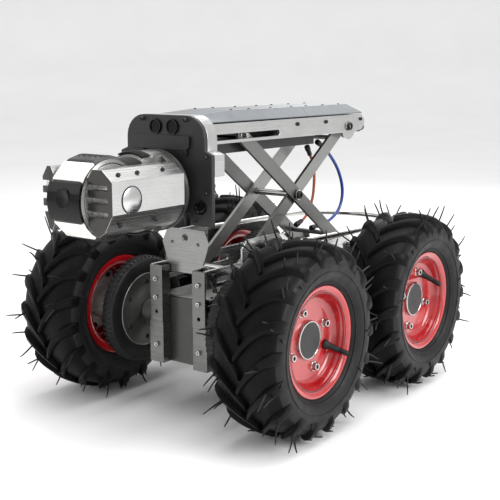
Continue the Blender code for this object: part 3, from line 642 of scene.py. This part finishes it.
def make_rim(suffix, body, matrix, spin):
    section = [(0.092, 0.05), (0.0926, 0.0487), (0.0918, 0.0474), (0.089, 0.0468),
               (0.0835, 0.0466), (0.0795, 0.046), (0.0785, 0.044), (0.0782, 0.0),
               (0.0785, -0.044), (0.0795, -0.046), (0.0835, -0.0466), (0.09, -0.047),
               (0.0926, -0.0487), (0.092, -0.05), (0.0895, -0.0503), (0.0845, -0.0494),
               (0.0775, -0.047), (0.0748, -0.044), (0.0744, -0.04), (0.0744, 0.009),
               (0.0725, 0.014), (0.069, 0.0168), (0.064, 0.0176), (0.01, 0.0176),
               (0.01, 0.0236), (0.061, 0.0236), (0.0655, 0.024), (0.07, 0.0256),
               (0.0733, 0.0285), (0.0752, 0.0325), (0.0762, 0.037), (0.0778, 0.041),
               (0.0805, 0.0448), (0.084, 0.0476), (0.0872, 0.0494), (0.09, 0.0503)]
    heap = Heap().add(lathe(section, 96, closed=True))
    for angle in (58, 238):
        turn = math.radians(angle) + spin
        place = (0.069 * math.cos(turn), 0.069 * math.sin(turn), 0.0245)
        heap.add(lathe([(0, 0.0012), (0.0016, 0.001), (0.0021, 0.0), (0, -0.001)], 12),
                 Matrix.Translation(place))
    heap.piece(f"rim_{suffix}", RED, body, "red_enamel",
               (f"rim_barrel_{suffix}", f"rim_dish_{suffix}"), 40, ROW @ matrix)
    cap = Heap()
    cap.add(lathe([(0, 0.0286), (0.0292, 0.0286), (0.0292, 0.0236), (0, 0.0236)], 64))
    cap.add(lathe([(0.0293, 0.0237), (0.0293, 0.029), (0.0299, 0.0296), (0.0314, 0.0294),
                   (0.0322, 0.0284), (0.0324, 0.0237)], 64, closed=True), number=1)
    cap.piece(f"hub_cap_{suffix}", [DARK, STEEL], body, "dark_anodised", (), 40, ROW @ matrix)
    bolts = Heap()
    for i in range(4):
        turn = spin + math.radians(90 * i)
        place = Matrix.Translation((0.052 * math.cos(turn), 0.052 * math.sin(turn), 0.0236))
        bolts.add(washer(0.0084, 0.0042, 0.0016), place)
        bolts.add(socket_screw(0.0066, 0.0072), place @ Matrix.Translation((0, 0, 0.0014))
                  @ Matrix.Rotation(random.uniform(0, 1), 4, 'Z'))
        bolts.add(lathe([(0, 0.0), (0.0036, 0.0), (0.0036, 0.0032), (0, 0.0032)], 6),
                  place @ Matrix.Translation((0, 0, 0.0014)), number=1)
    bolts.piece(f"wheel_bolts_{suffix}", [STEEL, SCREW], body, "polished_steel", (), 35,
                ROW @ matrix)


def make_valve(suffix, body, matrix, foot, tip):
    """Rubber valve stem that leans out of the dish, with its cap."""
    foot, tip = Vector((*foot, 0.0236)), Vector((*tip, 0.0595))
    way = (tip - foot).length
    stem = lathe([(0, -0.002), (0.008, -0.002), (0.0084, 0.0015), (0.0066, 0.0045),
                  (0.0054, 0.01), (0.0048, way * 0.55), (0.004, way * 0.62),
                  (0.0041, way * 0.64), (0.0046, way * 0.66), (0.0046, way * 0.96),
                  (0.0038, way), (0, way)], 24)
    heap = Heap().add(stem, facing(foot, tip - foot))
    heap.piece(f"valve_{suffix}", BLACK_RUBBER, body, "black_rubber", (), 40, ROW @ matrix)


def make_drive_wheel(suffix, body, matrix):
    """The small wheel inside the rim, its bright disc, and the scalloped hub flange."""
    inner, outer = 0.1055 - WHEEL_X, 0.13 - WHEEL_X
    tyre = Heap()
    tyre.add(lathe([(0.068, outer - 0.001), (0.072, outer), (0.09, outer), (0.0945, outer - 0.002),
                    (0.0966, outer - 0.006), (0.0968, (inner + outer) / 2), (0.0966, inner + 0.006),
                    (0.0945, inner + 0.002), (0.09, inner), (0.072, inner), (0.068, inner + 0.001)],
                   72, closed=True))
    for i in range(60):
        turn = 2 * math.pi * i / 60
        tyre.add(pad((0.0955, -0.0026, inner + 0.003), (0.0976, 0.0026, outer - 0.003), 0.0006, 1),
                 Matrix.Rotation(turn, 4, 'Z'))
    tyre.piece(f"drive_tyre_{suffix}", BLACK_RUBBER, body, "black_rubber",
               (f"drive_wheel_{suffix}",), 40, ROW @ matrix)
    disc = Heap()
    disc.add(lathe([(0, outer - 0.003), (0.03, outer - 0.003), (0.034, outer - 0.006),
                    (0.06, outer - 0.006), (0.0676, outer - 0.002), (0.0679, outer - 0.002),
                    (0.0679, inner + 0.002), (0.066, inner + 0.0008), (0.064, inner + 0.003),
                    (0.04, inner + 0.0036), (0.036, inner + 0.0012), (0, inner + 0.0012)], 72))
    for i in range(6):
        turn = math.radians(60 * i + 30)
        place = Matrix.Translation((0.052 * math.cos(turn), 0.052 * math.sin(turn), inner + 0.0034))
        disc.add(button_screw(0.0045, 0.0026), place @ Matrix.Rotation(math.pi, 4, 'X'), number=1)
    disc.piece(f"drive_disc_{suffix}", [GREY, SCREW], body, "grey_alloy", (), 35, ROW @ matrix)
    flange = Heap()
    top = 0.0172
    flange.add(lathe([(0, outer - 0.002), (0.024, outer - 0.002), (0.024, -0.03), (0.03, -0.02),
                      (0.032, top - 0.012), (0, top - 0.012)], 48))
    outline = []
    for i in range(96):
        turn = 2 * math.pi * i / 96
        dip = max(0.0, math.cos(8 * turn)) ** 0.7
        reach = 0.06 - 0.0085 * dip
        outline.append((reach * math.cos(turn), reach * math.sin(turn)))
    flange.add(prism(outline, top - 0.0078, top, 0.0008))
    for i in range(8):
        turn = math.radians(45 * i + 22.5)
        place = Matrix.Translation((0.049 * math.cos(turn), 0.049 * math.sin(turn), top - 0.0078))
        flange.add(socket_screw(0.0046, 0.0044), place @ Matrix.Rotation(math.pi, 4, 'X'), number=1)
        turn = math.radians(45 * i)
        place = Matrix.Translation((0.0395 * math.cos(turn), 0.0395 * math.sin(turn), top - 0.0079))
        flange.add(washer(0.006, 0.004, 0.001), place @ Matrix.Rotation(math.pi, 4, 'X'))
    flange.piece(f"hub_flange_{suffix}", [FLANGE, SCREW], body, "bright_alloy", (), 35,
                 ROW @ matrix)


for end, along_y in ENDS:
    for side, sign in SIDES:
        suffix = f"{end}_{side}"
        body = f"wheel_{suffix}"
        # local X runs along +Y, local Y along +Z, local Z outward
        stand = Matrix(((0, 0, sign, WHEEL_X * sign), (1, 0, 0, HALF_BASE * along_y),
                        (0, 1, 0, AXLE_Z), (0, 0, 0, 1)))
        make_tyre(f"tread_{suffix}", body, stand, f"tyre_{suffix}")
        make_whiskers(f"whiskers_{suffix}", body, stand)
        front = along_y < 0
        make_rim(suffix, body, stand, math.radians(21 if front else -17))
        make_valve(suffix, body, stand, (0.0517, -0.0188) if front else (0.0331, 0.0439),
                   (0.0689, -0.0335) if front else (0.0447, 0.0236))
        make_drive_wheel(suffix, body, stand)


# ---------------------------------------------------------------- chassis
def screws(name, body, items, material=SCREW, slot="black_plastic"):
    """Screws of one piece: (place, axis, radius, height, kind)."""
    kinds = {"cap": socket_screw, "dome": button_screw}
    heap = Heap()
    for place, axis, radius, height, kind in items:
        heap.add(kinds[kind](radius, height), facing(place, axis, random.uniform(0, 1)))
    return heap.piece(name, material, body, slot, (), 35)


def mirrored(items):
    return items + [((-p[0], p[1], p[2]), (-a[0], a[1], a[2]), r, h, k) for p, a, r, h, k in items]


softened("chassis_box", GREY_DARK, 0.0012)
softened("chassis_lid", GREY, 0.0008)
for end, along_y in ENDS:
    softened(f"axle_tube_{end}", GREY, 0.001)
    flange = Heap()
    for side, sign in SIDES:
        place = Vector((0.0556 * sign, HALF_BASE * along_y, AXLE_Z))
        flange.add(lathe([(0.0195, -0.0002), (0.0195, 0.005), (0.029, 0.005), (0.0315, 0.003),
                          (0.032, -0.0002)], 48, closed=True), facing(place, (sign, 0, 0)))
    # the axle flanges take the darker copy of the bright alloy: painted shade
    flange.piece(f"axle_flange_{end}", BRIGHT_ACROSS_SHADED, "chassis", "bright_alloy", (), 35)
    screws(f"axle_flange_screws_{end}", "chassis", mirrored(
        [((0.0606, HALF_BASE * along_y + 0.0255 * math.cos(a), AXLE_Z + 0.0255 * math.sin(a)),
          (1, 0, 0), 0.003, 0.0026, "cap") for a in (math.radians(60 * k + 15) for k in range(6))]))
for side, sign in SIDES:
    softened(f"lower_rail_{side}", BRIGHT, 0.0007)
    # the front posts take the darker copy of the bright alloy: painted shade
    softened(f"front_post_{side}", BRIGHT_ACROSS_SHADED, 0.0008)
    softened(f"lower_pivot_pin_{side}", STEEL, 0.0008)
    softened(f"side_bracket_{side}", BRIGHT, 0.0007)
softened("hex_bracket", PLATE, 0.0006)
softened("rear_bracket", PLATE, 0.0006)
softened("lift_motor", DARK, 0.0008)

screws("rail_screws", "chassis", mirrored(
    [((0.062, y, z), (1, 0, 0), 0.0042, 0.0034, "cap") for y, z in
     ((-0.1976, 0.2497), (-0.1952, 0.2249), (0.21, 0.206), (0.246, 0.198), (0.06, 0.221),
      (-0.04, 0.221), (0.15, 0.221))]))
screws("post_screws", "chassis", mirrored(
    [((0.048, -0.2215, z), (0, -1, 0), 0.0045, 0.0038, "cap") for z in (0.203, 0.236, 0.118)]),
    STEEL, "polished_steel")
screws("lid_screws", "chassis", mirrored(
    [((0.048, y, 0.2073), (0, 0, 1), 0.0032, 0.0022, "dome") for y in
     (-0.185, -0.115, -0.045, 0.025, 0.095, 0.165, 0.235)]))
screws("panel_screws", "chassis", mirrored(
    [((0.0555, y, z), (1, 0, 0), 0.003, 0.002, "dome") for y in (-0.1, -0.03, 0.04, 0.105)
     for z in (0.097, 0.192)]))
screws("bracket_screws", "chassis",
       [((x, -0.1985, z), (0, -1, 0), 0.004, 0.0034, "cap") for x, z in
        ((-0.04, 0.258), (0.04, 0.258))]
       + mirrored([((0.089, y, z), (1, 0, 0), 0.0036, 0.003, "cap") for y, z in
                   ((-0.14, 0.256), (-0.046, 0.256))]))
knobs = Heap()
for side, sign in SIDES:
    knobs.add(lathe([(0, 0.011), (0.005, 0.011), (0.0072, 0.0092), (0.0075, 0.003),
                     (0.006, 0.0), (0, -0.001)], 24),
                     facing((0.089 * sign, -0.094, 0.2925), (sign, 0, 0)))
knobs.piece("hoop_clamps", PLASTIC, "chassis", "black_plastic")

# the tail hoop: half its width, where its rear bow starts and ends, and where its arms start
hoop_half, hoop_y, hoop_end, hoop_start = 0.12, 0.3, 0.408, -0.094
hoop_front_z, hoop_rear_z = 0.2925, 0.279
rear_arc = [(hoop_half * math.cos(a), hoop_y + (hoop_end - hoop_y) * math.sin(a))
            for a in (math.pi * i / 40 for i in range(41))]


def hoop_height(y):
    return (hoop_front_z + (hoop_rear_z - hoop_front_z) * (y - hoop_start)
            / (hoop_end - hoop_start))


half_hoop = [(0.0895, hoop_start), (0.104, hoop_start)]
half_hoop += [(x, y) for x, y in arc((0.104, hoop_start + 0.016), 0.016, -90, 0, 8)][1:]
half_hoop += [(hoop_half, y) for y in (-0.03, 0.03, 0.1, 0.17, 0.24)]
route = [Vector((x, y, hoop_height(y))) for x, y in half_hoop]
route += [Vector((x, y, hoop_height(y))) for x, y in rear_arc]
route += [Vector((-x, y, hoop_height(y))) for x, y in reversed(half_hoop)]
Heap().add(pipe(route, 0.0055, 20)).piece("hoop_tube", STEEL, "chassis", "polished_steel",
                                          ("tail_hoop",), 50)

motor = Heap()
for x in (-0.03, -0.018, -0.006, 0.006, 0.018, 0.03):
    motor.add(lathe([(0.024, -0.0018), (0.0268, -0.0012), (0.0268, 0.0012), (0.024, 0.0018)], 40,
                    closed=True), facing((x, 0.12, 0.2345), (1, 0, 0)))
motor.piece("lift_motor_fins", DARK, "chassis", "black_plastic", (), 35)

socket = Heap()
socket.add(lathe([(0.015, 0), (0.015, 0.016), (0.0185, 0.016), (0.0195, 0.0145), (0.0195, 0.004),
                  (0.023, 0.003), (0.023, 0)], 40, closed=True), facing((0, 0.25, 0.15), (0, 1, 0)))
socket.add(lathe([(0, 0.006), (0.0148, 0.006), (0.0148, 0), (0, 0)], 40),
           facing((0, 0.25, 0.15), (0, 1, 0)), 1)
for k in range(6):
    turn = math.radians(60 * k)
    socket.add(lathe([(0, 0.0125), (0.0012, 0.012), (0.0012, 0.005), (0, 0.005)], 10),
               facing((0.0085 * math.cos(turn), 0.25, 0.15 + 0.0085 * math.sin(turn)), (0, 1, 0)),
               2)
socket.piece("cable_socket", [STEEL, PLASTIC, STEEL], "chassis", "polished_steel", (), 35)
screws("socket_screws", "chassis", [((x, 0.25, z), (0, 1, 0), 0.0032, 0.0026, "cap")
                                    for x in (-0.042, 0.042) for z in (0.1, 0.188)])

# ---------------------------------------------------------------- scissor lift
for side, sign in SIDES:
    softened(f"outer_link_{side}", LINK_DARK, 0.0008)
    softened(f"inner_link_{side}", LINK, 0.0008)
for node in ("upper_slider_shaft", "lower_slider_shaft", "centre_shaft"):
    softened(node, STEEL, 0.0006)


def pivot_heads(name, body, y, z, reach, radius=0.0095):
    heap = Heap()
    for _, sign in SIDES:
        place = facing((reach * sign, y, z), (sign, 0, 0))
        heap.add(washer(radius, 0.003, 0.0012), place)
        heap.add(socket_screw(radius * 0.74, 0.0046), place @ Matrix.Translation((0, 0, 0.001)), 1)
    heap.piece(name, [STEEL, SCREW], body, "polished_steel", (), 35)


pivot_heads("crossing_bolts", "outer_arms", CROSS_Y, CROSS_Z, 0.0574, 0.01)
pivot_heads("lower_pivot_heads", "chassis", PIVOT_Y, LOWER_Z, 0.0622)
pivot_heads("upper_pivot_heads", "platform", PIVOT_Y, UPPER_Z, 0.0622, 0.0105)

for name, body, y, z in (("upper_hose_clamp", "inner_arms", 0.205, 0.4616),
                         ("lower_hose_clamp", "outer_arms", 0.195, 0.2695)):
    inner = 0.0414 if body == "inner_arms" else 0.0484
    heap = Heap().add(pad((-inner, y - 0.0055, z - 0.004), (inner, y + 0.0055, z + 0.004), 0.001))
    heap.piece(name, LINK_DARK, body, "link_alloy", (), 35)

# ---------------------------------------------------------------- platform
softened("front_plate", DARK, 0.0009, 3)
softened("bulkhead", BRIGHT, 0.0008)
for side, sign in SIDES:
    softened(f"side_plate_{side}", BRIGHT, 0.0008)
    softened(f"upper_pivot_pin_{side}", STEEL, 0.0008)
softened("top_cover", COVER, 0.0008)
softened("rear_cover", COVER, 0.0008)
# the dark tray is partly its own anodised part and partly painted shade inside the platform
softened("platform_tray", DARK, 0.0008)
softened("rear_gland_plate", PLASTIC, 0.0006)
softened("head_neck", DARK, 0.0008)

FRONT_FACE = -0.2506     # outer face of the front plate
ports = Heap()
for x in (-0.0185, 0.0185):
    place = facing((x, FRONT_FACE + 0.003, 0.503), (0, -1, 0))
    ports.add(lathe([(0, 0.0005), (0.0095, 0.0005), (0.0103, 0.0025), (0.0118, 0.003), (0.0118, 0),
                     (0, 0)], 40), place)
for x in (-0.0763, 0.0763):
    place = facing((x, FRONT_FACE + 0.004, 0.374), (0, -1, 0))
    ports.add(lathe([(0, 0.0022), (0.004, 0.002), (0.008, 0.0012), (0.0092, 0.003),
                     (0.0112, 0.0036),
                     (0.0113, 0), (0, 0)], 40), place)
ports.piece("front_ports", GLASS, "platform", "black_glass", (), 35)
screws("front_plate_screws", "platform", mirrored(
    [((0.047, FRONT_FACE, 0.515), (0, -1, 0), 0.0035, 0.0026, "dome"),
     ((0.0467, FRONT_FACE, 0.461), (0, -1, 0), 0.0048, 0.0012, "cap"),
     ((0.09, FRONT_FACE, 0.456), (0, -1, 0), 0.003, 0.002, "dome"),
     ((0.0645, FRONT_FACE, 0.35), (0, -1, 0), 0.0026, 0.0014, "dome"),
     ((0.09, FRONT_FACE, 0.398), (0, -1, 0), 0.003, 0.002, "dome")]))
panel = Heap().add(prism([(-0.068, 0.466), (0.05, 0.466), (0.056, 0.472), (0.056, 0.489),
                          (-0.068, 0.489)], 0.0, 0.0012, 0.0004),
                   Matrix.Translation((0, FRONT_FACE, 0)) @ Matrix.Rotation(math.pi / 2, 4, 'X'))
panel.piece("front_raised_panel", DARK, "platform", "dark_anodised", (), 30)
screws("side_plate_screws", "platform", mirrored(
    [((0.062, y, z), (1, 0, 0), r, h, "cap") for y, z, r, h in
     ((-0.199, 0.5, 0.0036, 0.003), (0.0523, 0.4956, 0.0036, 0.003), (0.15, 0.4956, 0.0036, 0.003),
      (0.28, 0.496, 0.0034, 0.0028))]))
screws("cover_screws", "platform", mirrored(
    [((0.0405, y, 0.5265), (0, 0, 1), 0.0027, 0.0016, "dome") for y in
     (-0.12, -0.07, -0.004, 0.062, 0.112, 0.17, 0.228)]))
# thin bright rods along the crests of the cover: painted highlight of the crest edges
crest_highlight = Heap()
for side, sign in SIDES:
    crest_highlight.add(pipe([(0.0452 * sign, y, 0.5262) for y in (-0.128, -0.02, 0.08, 0.16, 0.25)], 0.0006,
                   6))
crest_highlight.piece("cover_crest_painted_highlight", BRIGHT, "platform", "bright_alloy", (), 60)

glands = Heap()
for x in (-0.046, 0.046):
    for z in (0.493, 0.4782):
        place = facing((x, 0.2902, z), (0, 1, 0))
        glands.add(lathe([(0.005, 0), (0.0072, 0), (0.0072, 0.006), (0.0066, 0.007),
                          (0.0066, 0.009),
                          (0.0072, 0.01), (0.0072, 0.018), (0.006, 0.0215), (0.005, 0.0215)], 12,
                         closed=True), place)
        for k in range(5):
            glands.add(lathe([(0.0064, 0.0102 + 0.0016 * k), (0.0075, 0.0107 + 0.0016 * k),
                              (0.0064, 0.0114 + 0.0016 * k)], 24, closed=True), place)
glands.piece("cable_glands", PLASTIC, "platform", "black_plastic", (), 35)

# ---------------------------------------------------------------- head
softened("fork_base", GREY, 0.0008)
ribs = Heap()
for y, r in ((-0.33, 0.066), (-0.325, 0.0668), (-0.32, 0.0668), (-0.315, 0.0668)):
    # the rings only show between the arms, above and below
    for low, high in ((65, 112), (248, 295)):
        turns = [math.radians(low + (high - low) * i / 14) for i in range(15)]
        ribs.add(pipe([(r * math.cos(a), y, HEAD_Z + r * math.sin(a)) for a in turns], 0.0017, 8))
ribs.piece("fork_base_rings", BLACK_RUBBER, "head_fork", "black_plastic", (), 50)
neck_rings = Heap()
for y, r in ((-0.289, 0.0676), (-0.283, 0.0676)):
    neck_rings.add(lathe([(0.066, -0.0012), (r, -0.0009), (r, 0.0009), (0.066, 0.0012)], 64,
                         closed=True), facing((0, y + 0.01, HEAD_Z), (0, 1, 0)))
neck_rings.piece("fork_neck_rings", DARK, "head_fork", "dark_anodised", (), 40)

ARM = {"left": (0.0295, 0.079), "right": (-0.0445, -0.07)}
ARM_FRONT = -0.451
for side, sign in SIDES:
    inner, outer = ARM[side]
    arm = softened(f"fork_arm_{side}", BRIGHT, 0.0022, 3)
    grooves = []
    for z in (0.424, 0.4045, 0.384):
        low, high = ((inner - 0.004, 0.069) if side == "left" else (outer - 0.004, -0.0535))
        a, b = sorted((low, high))
        grooves.append((pad((a, ARM_FRONT - 0.01, z - 0.0043), (b, ARM_FRONT + 0.008, z + 0.0043),
                            0.003, 3), Matrix.Identity(4)))
    cut(arm, grooves)
    # the front faces of the arms, picked by their normals, take the dark copy: painted shade
    arm.data.materials.append(ARM_FRONT_SHADE)
    for polygon in arm.data.polygons:
        if polygon.normal.y < -0.9 and polygon.center.y < ARM_FRONT + MID_Y + 0.001:
            polygon.material_index = 1
arm_screws = [((0.069, y, HEAD_Z + 0.0422), (0.64, 0, 0.77), 0.0036, 0.0026, "cap")
              for y in (-0.4276, -0.3871, -0.33)]
arm_screws += [((0.07, y, HEAD_Z - 0.033), (0.74, 0, -0.67), 0.0036, 0.0026, "cap")
               for y in (-0.4276, -0.35)]
screws("arm_screws", "head_fork", arm_screws)
boss = Heap()
for side, sign in SIDES:
    outer = ARM[side][1]
    place = facing((outer, -0.41, HEAD_Z + 0.004), (sign, 0, 0))
    boss.add(lathe([(0, 0.0016), (0.018, 0.0016), (0.0196, 0.0008), (0.02, -0.0004), (0, -0.0004)],
                   48),
             place)
    boss.add(washer(0.0218, 0.0204, 0.0008), place, 1)
boss.piece("tilt_boss", [BRIGHT, DARK], "head_fork", "bright_alloy", (), 30)

softened("camera_drum", DARK, 0.0008)
softened("lens_window", GLASS, 0.0012, 3)
softened("lamp_upper", LAMP, 0.002, 3)
softened("lamp_lower", LAMP, 0.002, 3)
drum_ribs = Heap()
low, high = -0.0435, 0.0285     # sides of the camera drum
for x in (-0.031, -0.019, -0.007, 0.005, 0.017):
    turns = [math.radians(a) for a in range(-98, 99, 7)]
    drum_ribs.add(pipe([(x, TILT_Y + 0.0658 * math.cos(a),
                         HEAD_Z + 0.0658 * math.sin(a)) for a in turns],
                       0.0016, 8))
drum_ribs.piece("drum_ribs", DARK, "camera", "dark_anodised", (), 50)
wrap = Heap()
outline = [(TILT_Y - r * math.cos(a), HEAD_Z + r * math.sin(a))
           for r, turns in ((0.0668, range(-26, 27, 4)), (0.0615, range(26, -27, -4)))
           for a in (math.radians(t) for t in turns)]
wrap.add(prism(outline, low + 0.001, high - 0.001, 0.0006),
         Matrix(((0, 0, 1, 0), (1, 0, 0, 0), (0, 1, 0, 0), (0, 0, 0, 1))))
wrap.piece("window_wrap", GLASS, "camera", "black_glass", (), 25)
discs = Heap()
for x, way in ((low, -1), (high, 1)):
    discs.add(lathe([(0.013, 0.0), (0.013, 0.0004), (0.054, 0.0004), (0.0548, 0)], 64, closed=True),
              facing((x, TILT_Y, HEAD_Z), (way, 0, 0)))
    discs.add(lathe([(0.056, -0.0006), (0.061, -0.0022), (0.0618, -0.0012), (0.0566, 0.0004)], 64,
                    closed=True), facing((x, TILT_Y, HEAD_Z), (way, 0, 0)))
discs.piece("drum_discs", PLATE, "camera", "bright_alloy", (), 35)
lens = Heap()
mid = (low + high) / 2
lens.add(lathe([(0, 0.0006), (0.01, 0.0006), (0.0112, 0.0012), (0.015, 0.0012), (0.0158, 0)], 48),
         facing((mid, TILT_Y - 0.0664, HEAD_Z + 0.006), (0, -1, 0)))
lens.piece("lens_ring", GLASS, "camera", "black_glass", (), 35)

# ---------------------------------------------------------------- hoses
BLUE_KNOTS = [(0.01, 0.214, 0.444), (0.01, 0.232, 0.434), (0.01, 0.255, 0.416),
              (0.01, 0.28, 0.39), (0.01, 0.297, 0.358), (0.01, 0.299, 0.33),
              (0.01, 0.286, 0.305), (0.01, 0.258, 0.289), (0.01, 0.226, 0.282),
              (0.01, 0.198, 0.28)]
ORANGE_KNOTS = [(-0.012, 0.205, 0.428), (-0.012, 0.217, 0.41), (-0.012, 0.224, 0.388),
                (-0.012, 0.224, 0.362), (-0.012, 0.219, 0.335), (-0.012, 0.206, 0.31),
                (-0.012, 0.186, 0.294), (-0.012, 0.16, 0.286)]


def make_hose(name, knots, radius, material, slot, node):
    route = smooth_route(knots, 8)
    hose = Heap().add(pipe(route, radius, 16)).piece(name, material, None, slot, (node,), 60,
                                                     ride=False)
    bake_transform(hose)
    return hose


make_hose("blue_hose_tube", BLUE_KNOTS, 0.0034, BLUE, "blue_hose", "blue_hose")
make_hose("orange_cable_tube", ORANGE_KNOTS, 0.0029, ORANGE, "orange_cable", "orange_cable")
for name, body, knots, last, reach in (
        ("blue_top_fitting", "inner_arms", BLUE_KNOTS, 0, 0.0175),
        ("blue_end_fitting", "outer_arms", BLUE_KNOTS, -1, 0.0175),
        ("orange_top_fitting", "inner_arms", ORANGE_KNOTS, 0, 0.0175),
        ("orange_end_fitting", "outer_arms", ORANGE_KNOTS, -1, 0.002)):
    here, near = Vector(knots[last]), Vector(knots[1 if last == 0 else -2])
    away = (here - near).normalized()
    collar = reach - 0.0105
    fitting = Heap().add(lathe([(0, collar - 0.012), (0.0044, collar - 0.012),
                                (0.0048, collar - 0.01), (0.0048, collar), (0.0058, collar + 0.001),
                                (0.0058, reach - 0.0015), (0.005, reach), (0, reach)], 20),
                         facing(here, away))
    fitting.piece(name, PLASTIC, body, "black_plastic", (), 35)




# ---------------------------------------------------------------- stage
def make_stage():
    floor = Heap()
    floor.add(lathe([(0, 0), (4.0, 0), (7.0, 0.0), (8.2, 0.16), (9.2, 0.62), (9.8, 1.4),
                     (10.0, 2.6),
                     (10.2, 2.6), (10.2, -0.1), (0, -0.1)], 96))
    mesh = bpy.data.meshes.new("floor")
    mesh.from_pydata([Vector(v) - Vector((0, 0, 0.0005)) for v in floor.verts], [], floor.faces)
    tidy_mesh(mesh)
    mesh.shade_smooth()
    obj = bpy.data.objects.new("floor", mesh)
    bpy.context.scene.collection.objects.link(obj)
    look = Look("floor_paper", Specular_IOR_Level=0.2)
    look.colour(look.colours(look.noise(2, detail=4),
                             [(0.3, (0.9, 0.9, 0.9)), (0.7, (0.93, 0.93, 0.93))]))
    look.roughness(look.noise(30), 0.7, 0.85)
    mesh.materials.append(look.material)


def softbox(name, place, target, size, power, tone=(1, 1, 1)):
    light = bpy.data.lights.new(name, 'AREA')
    light.shape = 'RECTANGLE'
    light.size, light.size_y = size
    light.energy = power
    light.color = tone
    obj = bpy.data.objects.new(name, light)
    bpy.context.scene.collection.objects.link(obj)
    aim(obj, place, target)


make_stage()
softbox("top_light", (0.2, 0.1, 2.6), (0, 0, 0.2), (2.2, 1.8), 44)
softbox("right_light", (2.6, 0.3, 1.6), (0, 0, 0.25), (1.6, 1.6), 52)
softbox("left_light", (-2.0, -1.8, 1.5), (0, 0, 0.3), (1.2, 1.4), 5)
softbox("back_light", (-0.8, 2.6, 1.8), (0, 0, 0.4), (1.8, 1.2), 16)
world = bpy.data.worlds.new("studio")
world.use_nodes = True
world.node_tree.nodes["Background"].inputs["Color"].default_value = (1, 1, 1, 1)
world.node_tree.nodes["Background"].inputs["Strength"].default_value = 0.88
bpy.context.scene.world = world
bpy.context.scene.view_settings.view_transform = 'Standard'

bpy.context.view_layer.update()
